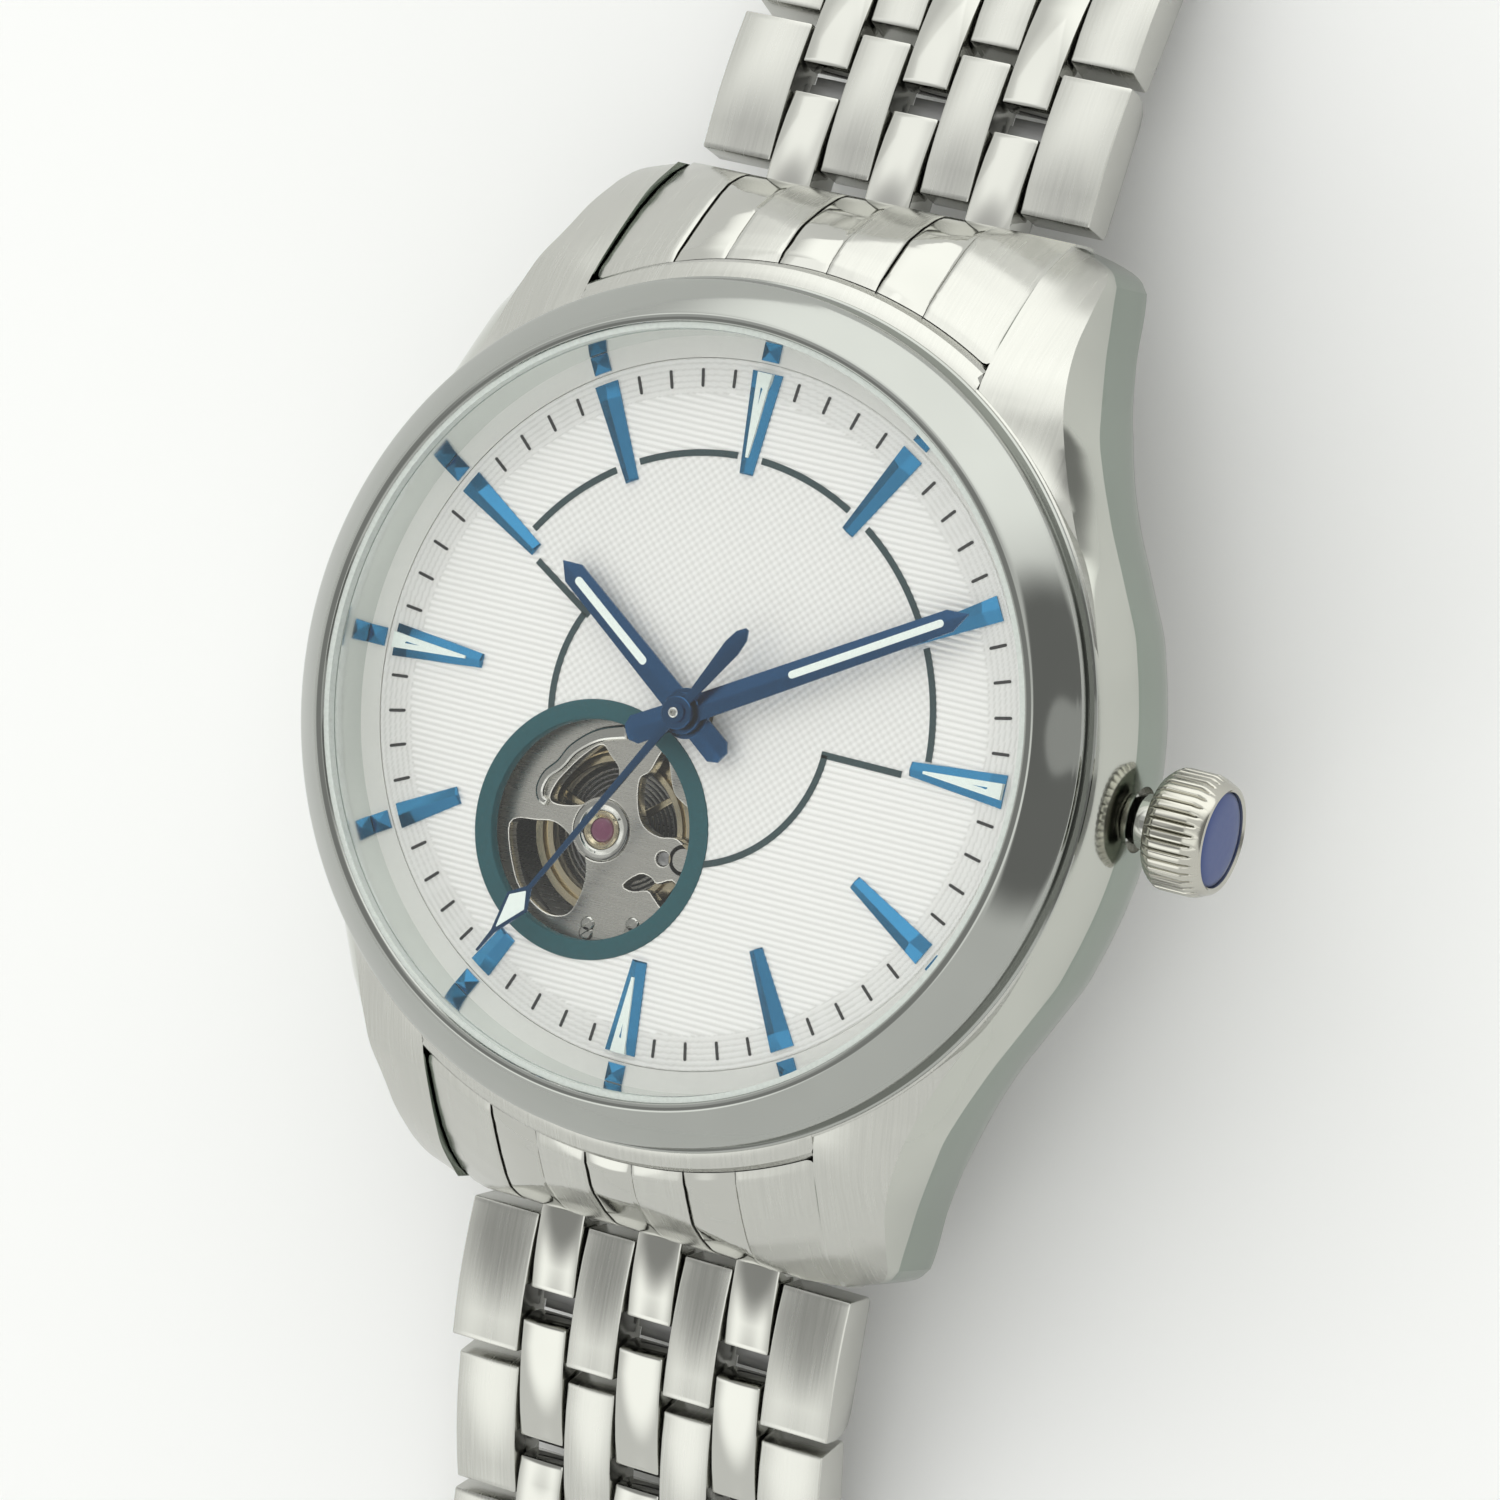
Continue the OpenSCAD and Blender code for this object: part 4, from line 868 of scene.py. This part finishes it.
def faceted_bar(stations, low, edge, ridge, clockwise):
    """A bar with a roof-shaped top, lofted along stations of (distance from the pivot, half width)."""
    rings = []
    for y, w in stations:
        top = edge + (ridge - edge) * min(1.0, w / 0.3)
        ring = [(-w, y, low), (w, y, low), (w, y, edge), (0, y, top), (-w, y, edge)]
        rings.append(spin(ring, clockwise))
    return loft(rings)


def make_hands():
    """Hour and minute hand: a roof-shaped bar with its hub ring, and a luminous strip let into the top."""
    for name, clockwise, stations, (bore, hub), (start, end, half) in HANDS:
        low, high = (corner.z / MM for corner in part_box(f"{name}_hand"))
        shape = Shape().add(*faceted_bar(stations, low, high - 0.1, high, clockwise))
        shape.add(*lathe([(bore, low), (hub, low), (hub, high - 0.04), (hub - 0.04, high), (bore, high)], 64))
        shape.make(f"{name}_hand_blued", name, ["hand_blue"], replaces=[f"{name}_hand"], slot="blue",
                   smooth=12)
        strip = [(x, y + (start + end) / 2) for x, y in tick_outline(half, (end - start) / 2)]
        Shape().add(*prism(spin(strip, clockwise), high - 0.08, high)).make(
            f"{name}_hand_lume", name, ["lume"], slot="dial_silver")


def make_seconds_hand():
    """A thin blade with a counterweight, a luminous kite near the tip, a hub and a bright cap."""
    low, high = (corner.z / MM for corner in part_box("seconds_hand"))
    z0, z1 = DIAL_Z + 1.7, DIAL_Z + 1.84
    blade = [(-5.0, 0.08), (-4.6, 0.33), (-3.9, 0.42), (-1.0, 0.2), (0, 0.2), (10.6, 0.11)]
    kite = [(10.6, 0.11), (11.5, 0.65), (13.3, 0.1), (14.48, 0.05)]
    hub = [(0.24, low), (0.45, low), (0.45, z0), (0.74, z0), (0.74, z1), (0.7, z1 + 0.03), (0.46, z1 + 0.03),
           (0.44, high - 0.2), (0.24, high - 0.2)]
    shape = Shape().add(*faceted_bar(blade, z0, z1 - 0.04, z1, SECOND_AT))
    shape.add(*faceted_bar(kite, z0, z1 - 0.04, z1 - 0.02, SECOND_AT)).add(*lathe(hub, 64))
    shape.make("seconds_hand_blued", "fourth", ["hand_blue"], replaces=["seconds_hand"], slot="blue",
               smooth=20)
    lume = [(10.85, 0.02), (11.5, 0.5), (13.0, 0.02)]
    Shape().add(*faceted_bar(lume, z1 - 0.06, z1 - 0.01, z1, SECOND_AT)).make(
        "seconds_hand_lume", "fourth", ["lume"], slot="dial_silver")
    cap = [(0.0, high - 0.3), (0.23, high - 0.3), (0.23, high - 0.03), (0.17, high), (0.11, high),
           (0.09, high - 0.08), (0, high - 0.08)]
    turned(cap, 32, "seconds_hand_cap", "fourth", ["polished"], slot="polished_steel")


# ---- bracelet

LINK_T = 2.4
LINK_END_R, LINK_CHAMFER, LINK_CROWN, LINK_EDGE = 1.15, 0.22, 0.25, 0.11
POLISHED_X, POLISHED_W = 5.1, 2.3
COLUMN_GAP = 0.15
FIRST_HALF, ROW_HALF = 9.9, 9.6
# Along a row, from its pin: where brushed and polished links start and end, and the second pin tube.
BRUSHED_SPAN, POLISHED_SPAN = (1.7, 8.4), (-0.9, 5.2)
PIN_R, SECOND_PIN = 0.5, 3.4
# Side outline of the step that closes the gap to the next polished link, as (along, up); its dark steel
# paints the shade in the gap.
GAP_STEP_IN_PAINTED_SHADE = [(5.1, -0.45), (5.95, -0.55), (5.95, -0.85), (6.42, -0.85), (6.42, -1.12), (5.1, -1.12)]
ROWS = {"12": 7, "6": 6}


def joint(name):
    return next(j for j in frame["joints"] if j["name"] == name)


def hinge_at(side, k):
    """Pin of row k, counted from 1; the last one of the 12 side is the clasp's."""
    name = f"link_{side}_{k}_bend" if k <= ROWS[side] else "clasp_bend"
    return [c / MM for c in joint(name)["pos_m"]]


def row_matrix(side, k):
    """Places a row that is drawn along +Y from its pin."""
    here = hinge_at(side, k)
    half_turn, sign = (0, 1) if side == "12" else (math.pi, -1)
    slope = 0.0
    if side == "12" or k < ROWS[side]:
        ahead = hinge_at(side, k + 1)
        slope = math.atan2(ahead[2] - here[2], sign * (ahead[1] - here[1]))
    return Matrix.Translation(here) @ Matrix.Rotation(half_turn, 4, "Z") @ Matrix.Rotation(slope, 4, "X")


def link_outline(u0, u1, round_end):
    """Side outline of a link as (along, up): crowned on top, and round below at u1 (1) or at u0 (-1)."""
    h, r, c = LINK_T / 2, LINK_END_R, LINK_CHAMFER
    top = [(u0 + (u1 - u0) * t, h - LINK_CROWN * (2 * t - 1) ** 2) for t in (0.04, 0.2, 0.4, 0.6, 0.8, 0.96)]
    turns = (math.radians(a) for a in (90, 60, 30, 0))
    quarter = [(r * math.sin(a), -h + r - r * math.cos(a)) for a in turns]
    if round_end > 0:
        low = [(u1 - r + u, w) for u, w in quarter]
        return top + [(u1, h - c)] + low + [(u0 + c, -h), (u0, -h + c), (u0, h - c)]
    low = [(u0 + r - u, w) for u, w in reversed(quarter)]
    return top + [(u1, h - c), (u1, -h + c), (u1 - c, -h)] + low + [(u0, h - c)]


def link(span, xs, round_end):
    """One solid link of a row as verts and faces, with its edges rounded."""
    outline = link_outline(*span, round_end)
    bm = to_bmesh(Shape().add(*loft([[(x, u, w) for u, w in outline] for x in xs])))
    round_edges(bm, LINK_EDGE, angle=30)
    made = from_bmesh(bm)
    return made.verts, made.faces


def make_row(side, k):
    """Four brushed and three polished links, two pin tubes and the steps that close the gaps, in dark steel
    as painted shade.
    """
    half = FIRST_HALF if k == 1 else ROW_HALF
    row = Shape()
    middle = (POLISHED_W / 2 + COLUMN_GAP, POLISHED_X - POLISHED_W / 2 - COLUMN_GAP)
    outer = (POLISHED_X + POLISHED_W / 2 + COLUMN_GAP, half)
    for s in (-1, 1):
        for ends in (middle, outer):
            row.add(*link(BRUSHED_SPAN, sorted(s * x for x in ends), 1), 0)
    for x in (-POLISHED_X, 0, POLISHED_X):
        xs = (x - POLISHED_W / 2, x + POLISHED_W / 2)
        row.add(*link(POLISHED_SPAN, xs, -1), 1)
        # The step's dark steel paints the shade between the links.
        row.add(*loft([[(x, u, w) for u, w in GAP_STEP_IN_PAINTED_SHADE] for x in xs]), 2)
    for u, reach in ((0, half - 0.7), (SECOND_PIN, half - 0.3)):
        ring = circle(PIN_R, steps=24)
        row.add(*loft([[(x, u + a, b) for a, b in ring] for x in (-reach, reach)]), 1)
    row.moved(row_matrix(side, k))
    row.make(f"links_{side}_{k}", f"link_{side}_{k}", ["brushed", "polished", "dark_steel_and_gap_shade"],
             replaces=[f"row_{side}_{k}"], slot="steel", smooth=30)


# ---- window

# Loops seen through the window, from above and measured from the balance's axis.
UPPER_OPENING = [(-2.85, 0.85), (-2.72, 1.48), (-2.32, 2.17), (-1.68, 3.02), (-0.9, 3.71), (-0.35, 3.35),
                 (0.2, 2.85), (0.21, 2.15), (-0.12, 1.67), (-0.77, 1.12), (-1.59, 0.79), (-2.47, 0.66)]
LOWER_OPENING = [(-4.55, -0.75), (-3.24, -0.3), (-2.25, -0.22), (-1.21, -0.78), (-0.57, -1.33),
                 (-0.3, -2.17), (-0.39, -3.19), (-0.8, -4.04), (-1.71, -4.25), (-2.7, -3.85), (-3.7, -3.0)]
RIGHT_OPENING = [(2.31, 4.2), (1.77, 3.11), (1.35, 2.61), (1.55, 1.46), (2.03, 0.67), (2.88, 0.38),
                 (3.74, 0.48), (4.7, 0.1), (4.6, 1.2), (4.0, 1.9), (3.1, 2.5)]
RECESS = [(1.66, -2.15), (2.33, -1.5), (2.9, -1.51), (3.28, -1.72), (3.98, -1.41), (4.4, -1.87),
          (3.85, -2.68), (3.34, -2.4), (2.9, -2.1), (2.2, -2.3)]
LEVER = [(0.35, 4.6), (-0.75, 4.25), (-1.45, 3.85), (-2.15, 3.2), (-2.6, 2.45), (-3.15, 1.85), (-3.35, 1.2),
         (-3.2, 0.75), (-2.85, 0.6)]
SETTING_R = 1.41
PIN_AT, PIN_HOLE_R = (3.3, -0.56), 0.34
BRIDGE_LOW, BRIDGE_HIGH = (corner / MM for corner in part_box("balance_bridge"))


def ribbon(path, half, end_half):
    """A closed outline that follows a path at a distance to both sides."""
    left, right = [], []
    for i, p in enumerate(path):
        a, b = Vector(path[max(i - 1, 0)]), Vector(path[min(i + 1, len(path) - 1)])
        d = (b - a).normalized()
        w = half + (end_half - half) * i / (len(path) - 1)
        left.append((p[0] - d.y * w, p[1] + d.x * w))
        right.append((p[0] + d.y * w, p[1] - d.x * w))
    return left + right[::-1]


def at_heart(shape):
    """Moves a shape that is drawn about the balance's axis to its place."""
    return shape.moved(Matrix.Translation((*HEART, 0)))


def make_balance_bridge():
    """The bridge behind the window, with its openings, and a curved lever on it."""
    radius = (BRIDGE_HIGH.x - BRIDGE_LOW.x) / 2
    holes = [smooth_loop(UPPER_OPENING), smooth_loop(LOWER_OPENING), smooth_loop(RIGHT_OPENING),
             circle(SETTING_R + 0.01), circle(PIN_HOLE_R, PIN_AT, 32), smooth_loop(RECESS, 3)]
    bridge = plate(circle(radius, steps=128), holes, BRIDGE_LOW.z, BRIDGE_HIGH.z, edge=0.06)
    at_heart(bridge).make("heart_bridge", "head", ["plate"], replaces=["balance_bridge"],
                          slot="movement_metal", smooth=30)
    path = smooth_loop(LEVER, 5, closed=False)
    lever = plate(ribbon(path, 0.34, 0.18), [], BRIDGE_HIGH.z, BRIDGE_HIGH.z + 0.3, edge=0.12)
    at_heart(lever).make("regulator_lever", "head", ["polished"], slot="movement_metal", smooth=40)


def make_setting():
    """The balance's upper jewel in a gilt ring and a bright steel cup."""
    z = BRIDGE_HIGH.z
    ring = [(0.56, z - 0.45), (0.56, z - 0.04), (0.62, z + 0.02), (0.7, z + 0.1), (0.8, z + 0.1),
            (0.88, z + 0.02), (0.9, z - 0.45)]
    cup = [(0.9, z - 0.7), (0.9, z + 0.04), (0.98, z + 0.08), (1.1, z + 0.02), (1.2, z + 0.05),
           (1.36, z + 0.04), (SETTING_R, z - 0.03), (SETTING_R, z - 0.7)]
    shape = Shape().add(*lathe(cup, 96)).add(*lathe(ring, 96), slot=1)
    at_heart(shape).make("jewel_cup", "head", ["polished", "gilt"], slot="brass", smooth=25)
    jewel_r = 0.55
    bend = np.linspace(0.02, math.pi / 2, 10)
    jewel = [(jewel_r * math.sin(a), z - 0.1 + 0.09 * math.cos(a)) for a in bend]
    jewel += [(jewel_r, z - 0.44), (0.02, z - 0.44)]
    at_heart(Shape().add(*lathe(jewel, 64))).make("balance_jewel", "head", ["ruby"], slot="ruby", smooth=50)


def parts_of(node):
    """Centre (x, y), radius, bottom and top of every separate round part of a CAD node."""
    bm = bmesh.new()
    bm.from_mesh(frame["nodes"][node].data)
    bmesh.ops.remove_doubles(bm, verts=bm.verts, dist=1e-6)
    found, seen = [], set()
    for seed in bm.verts:
        if seed in seen:
            continue
        seen.add(seed)
        waiting, points = [seed], []
        while waiting:
            vert = waiting.pop()
            points.append(tuple(vert.co / MM))
            fresh = [e.other_vert(vert) for e in vert.link_edges if e.other_vert(vert) not in seen]
            seen.update(fresh)
            waiting += fresh
        low, high = np.min(points, axis=0), np.max(points, axis=0)
        found.append(((low + high)[:2] / 2, (high - low)[0] / 2, low[2], high[2]))
    bm.free()
    return found


def make_jewels():
    """Each train jewel in its pressed gilt ring; the balance's upper one is made with its setting."""
    shape = Shape()
    for centre, r, z0, z1 in parts_of("jewels"):
        if math.dist(centre, HEART) < 0.1 and z1 > BRIDGE_LOW.z:
            continue
        jewel = [(0.2, z0), (0.2, z1 - 0.12), (r * 0.45, z1 - 0.04), (r * 0.6, z1 - 0.04), (r * 0.6, z0)]
        ring = [(r * 0.6, z0), (r * 0.6, z1 - 0.06), (r * 0.7, z1), (r * 0.95, z1), (r, z1 - 0.04), (r, z0)]
        shape.add(*lathe(jewel, 48, centre=centre)).add(*lathe(ring, 48, centre=centre), slot=1)
    shape.make("train_jewels", "head", ["ruby", "gilt"], replaces=["jewels"], slot="ruby", smooth=30)


def make_screws():
    """Slotted screws: large ones whose heads face the case back and small domed ones in the window."""
    shape = Shape()
    for centre, r, z0, z1 in parts_of("movement_screws"):
        at_back = z0 < BRIDGE_LOW.z
        face, into = (z0, 1) if at_back else (z1, -1)
        under = face + 0.18 * into
        screw = [(0.01, face), (r * 0.75, face), (r - 0.03, face + 0.04 * into), (r, face + 0.08 * into),
                 (r, under)]
        screw += [(r * 0.55, under), (r * 0.55, z1), (0.01, z1)] if at_back else [(0.01, under)]
        groove = bar((centre[0] - r, centre[1] - r), (centre[0] + r, centre[1] + r), r * 0.22)
        depth = sorted((face - 0.1 * into, face + 0.07 * into))
        shape.join(cut(Shape().add(*lathe(screw, 40, centre=centre)), Shape().add(*prism(groove, *depth))))
    shape.make("bridge_screws", "head", ["polished"], replaces=["movement_screws"], slot="steel", smooth=25)
    z = BRIDGE_HIGH.z
    pin = [(PIN_HOLE_R - 0.03, z - 0.6), (PIN_HOLE_R - 0.03, z - 0.12), (0.12, z - 0.05), (0.01, z - 0.05),
           (0.01, z - 0.6)]
    at_heart(Shape().add(*lathe(pin, 48, centre=PIN_AT))).make(
        "bridge_pin", "head", ["dark_steel_and_gap_shade"], slot="movement_metal", smooth=25)


def make_balance():
    """The gilt balance wheel: a stepped rim on three arms, and its staff."""
    low, high = (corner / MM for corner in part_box("balance_wheel"))
    r = (high.x - low.x) / 2
    z1 = DIAL_Z - 2.3
    z0 = z1 - 0.7
    rim = [(r - 0.9, z0), (r - 0.9, z1 - 0.12), (r - 0.86, z1 - 0.06), (r - 0.6, z1 - 0.06),
           (r - 0.55, z1 - 0.3), (r - 0.42, z1 - 0.3), (r - 0.37, z1), (r - 0.04, z1), (r, z1 - 0.04),
           (r, z0)]
    shape = Shape().add(*lathe(rim, 192))
    arm = [(0.3, -0.2), (r - 0.7, -0.14), (r - 0.7, 0.14), (0.3, 0.2)]
    for turn in (40, 160, 280):
        blank = plate(arm, [], z0 + 0.2, z0 + 0.45, edge=0.04)
        shape.join(blank.moved(Matrix.Rotation(math.radians(turn), 4, "Z")))
    tip = BRIDGE_HIGH.z - 0.55
    hub = [(0.6, z0 + 0.15), (0.6, z0 + 0.5), (0.5, z0 + 0.55), (0.15, z0 + 0.6), (0.15, tip), (0.01, tip),
           (0.01, low.z), (0.15, low.z), (0.3, low.z + 0.9), (0.3, z0 + 0.15)]
    shape.add(*lathe(hub, 48))
    at_heart(shape).make("balance_gilt", "balance", ["gilt"], replaces=["balance_wheel"], slot="brass",
                         smooth=25)


def make_hairspring():
    """A flat spiral of thin wire on its collet, which turns with the balance as one stiff piece."""
    low, high = (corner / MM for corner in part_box("hairspring"))
    first, last = 0.55, (high.y - low.y) / 2 - 0.05
    turns, per_turn, wire = 11, 60, 0.035
    rings = []
    for i in range(turns * per_turn + 1):
        a = 2 * math.pi * i / per_turn
        r = first + (last - first) * i / (turns * per_turn)
        rings.append([((r + s * wire) * math.cos(a), (r + s * wire) * math.sin(a), z)
                      for s, z in ((-1, low.z), (1, low.z), (1, high.z), (-1, high.z))])
    shape = Shape().add(*loft(rings))
    collet = [(0.31, low.z), (0.31, high.z), (0.56, high.z), (0.56, low.z)]
    shape.add(*lathe(collet, 48))
    at_heart(shape).make("hairspring_coils", "balance", ["dark_steel_and_gap_shade"], replaces=["hairspring"],
                         slot="spring_steel", smooth=40)


# ---- other nodes, with softened edges

def soften(node, body, material, slot, width=0.05):
    """A copy of a CAD node with its flat faces merged and its sharp edges rounded."""
    bm = bmesh.new()
    bm.from_mesh(frame["nodes"][node].data)
    bmesh.ops.scale(bm, vec=(1 / MM, 1 / MM, 1 / MM), verts=bm.verts)
    bmesh.ops.remove_doubles(bm, verts=bm.verts, dist=0.001)
    bmesh.ops.dissolve_limit(bm, angle_limit=math.radians(0.5), verts=bm.verts, edges=bm.edges)
    round_edges(bm, width, angle=25)
    for f in bm.faces:
        f.material_index = 0
    from_bmesh(bm).make(f"{node}_soft", body, [material], replaces=[node], slot=slot, smooth=30)


# ---- setting

FLOOR_HALF, FLOOR_GAP = 1500, 0.02


def make_floor():
    """A plain pale floor just below the opened watch."""
    floor = bpy.data.meshes.new("floor")
    corners = [Vector((a * FLOOR_HALF, b * FLOOR_HALF, TABLE_Z - FLOOR_GAP)) * MM
               for a, b in ((-1, -1), (1, -1), (1, 1), (-1, 1))]
    floor.from_pydata(corners, [], [(0, 1, 2, 3)])
    made = Finish("floor_pale", (0.94, 0.94, 0.94), roughness=0.9)
    made.shade(made.noise(made.coordinates([0.01] * 3)), 0.01)
    floor.materials.append(made.material)
    obj = bpy.data.objects.new("floor", floor)
    bpy.context.collection.objects.link(obj)


# Soft brighter and darker parts of the studio: azimuth and elevation in degrees, the angles from its
# middle where it ends and where it is full, and how bright it is.
STUDIO = ((85, 12, 48, 26, 1.9),
          (8, 24, 36, 26, 0.28),
          (10, 4, 8, 6, 0.62),
          (10, 13, 8, 6, 0.62),
          (10, 22, 8, 6, 0.62),
          (-125, 46, 24, 12, 1.8),
          (130, 48, 20, 8, 1.35),
          (188, 66, 30, 18, 0.42),
          (-30, 70, 20, 10, 1.5))
STUDIO_BASE = 0.98
STUDIO_TINT = (0.99, 1.0, 0.97)


def grey(value):
    return [value * c for c in STUDIO_TINT] + [1.0]


def make_world():
    """The studio as seen in reflections: an even pale room with soft brighter and darker parts."""
    world = bpy.data.worlds.new("studio")
    bpy.context.scene.world = world
    world.use_nodes = True
    nodes, links = world.node_tree.nodes, world.node_tree.links
    direction = nodes.new("ShaderNodeTexCoord").outputs["Generated"]
    light = None
    for *angles, value in STUDIO:
        azimuth, elevation, end, full = (math.radians(a) for a in angles)
        flat = math.cos(elevation)
        middle = (flat * math.cos(azimuth), flat * math.sin(azimuth), math.sin(elevation))
        dot = nodes.new("ShaderNodeVectorMath")
        dot.operation = "DOT_PRODUCT"
        dot.inputs[1].default_value = middle
        links.new(direction, dot.inputs[0])
        fade = nodes.new("ShaderNodeMapRange")
        fade.interpolation_type = "SMOOTHSTEP"
        fade.inputs["From Min"].default_value = math.cos(end)
        fade.inputs["From Max"].default_value = math.cos(full)
        links.new(dot.outputs["Value"], fade.inputs["Value"])
        mix = nodes.new("ShaderNodeMix")
        mix.data_type = "RGBA"
        mix.inputs[MIX_A].default_value = grey(STUDIO_BASE)
        mix.inputs[MIX_B].default_value = grey(value)
        links.new(fade.outputs["Result"], mix.inputs["Factor"])
        if light:
            links.new(light, mix.inputs[MIX_A])
        light = mix.outputs[MIX_OUT]
    links.new(light, nodes["Background"].inputs["Color"])


KEY_AT, KEY_SIZE, KEY_WATTS = Vector((-250, 260, 520)), (500, 400), 0.2


def make_key_light():
    """One large soft light from the upper left, aimed at the middle of the watch."""
    data = bpy.data.lights.new("key", "AREA")
    data.shape = "RECTANGLE"
    data.size, data.size_y = (side * MM for side in KEY_SIZE)
    data.energy = KEY_WATTS
    obj = bpy.data.objects.new("key", data)
    obj.location = KEY_AT * MM
    obj.rotation_euler = (-KEY_AT).to_track_quat("-Z", "Y").to_euler()
    bpy.context.collection.objects.link(obj)


CAMERA_AT = Vector((139.92, 20.83, DIAL_Z + 287.65))
CAMERA_LOOKS_AT = Vector((3.05, -0.94, DIAL_Z))
CAMERA_UP = Vector((-0.22183, 0.97457, 0.03181))
CAMERA_LENS = 173.0


def make_camera():
    """The photograph's view, found from the dial's circles and the heights above it."""
    data = bpy.data.cameras.new("camera")
    data.lens = CAMERA_LENS
    data.sensor_width = 36.0
    data.clip_start, data.clip_end = 0.01, 10.0
    cam = bpy.data.objects.new("camera", data)
    bpy.context.collection.objects.link(cam)
    back = (CAMERA_AT - CAMERA_LOOKS_AT).normalized()
    right = CAMERA_UP.cross(back).normalized()
    up = back.cross(right)
    turn = Matrix((right, up, back)).transposed().to_4x4()
    cam.matrix_world = Matrix.Translation(CAMERA_AT * MM) @ turn
    bpy.context.scene.camera = cam


PAINT = {
    "glass": ["case_back_glass"],
    "dial": ["dial"],
    "brushed": ["spring_bars", "case_back"],
    "polished": ["winding_stem", "escape_wheel", "pallet_fork"],
    "plate": ["main_plate", "train_bridge", "automatic_bridge", "rotor"],
    "gilt": ["hour_wheel", "minute_wheel", "cannon_pinion", "fourth_wheel", "third_wheel", "centre_wheel",
             "mainspring_barrel"],
    "dark_steel_and_gap_shade": ["movement_ring"],
    "rubber": ["case_back_gasket", "crown_gasket"],
    "seal": ["crystal_gasket"],
}

make_camera()
make_world()
make_key_light()
make_floor()
for material, nodes in PAINT.items():
    for node in nodes:
        paint(node, material)
make_case()
make_bezel()
make_crystal()
make_crown()
make_crown_tube()
for name in ("12", "6"):
    make_end_link(name)
make_dial()
make_flange()
make_studs()
make_heart_ring()
make_minute_track()
make_border()
make_markers()
make_hands()
make_seconds_hand()
make_balance_bridge()
make_setting()
make_jewels()
make_screws()
make_balance()
make_hairspring()
for side, count in ROWS.items():
    for k in range(1, count + 1):
        make_row(side, k)
soften("clasp_cover", "clasp", "brushed", "steel", width=0.12)
for body in ("outer_blade", "inner_blade", "button_left", "button_right"):
    soften(f"clasp_{body}", body, "polished", "polished_steel")

bpy.context.scene.view_settings.view_transform = "Standard"
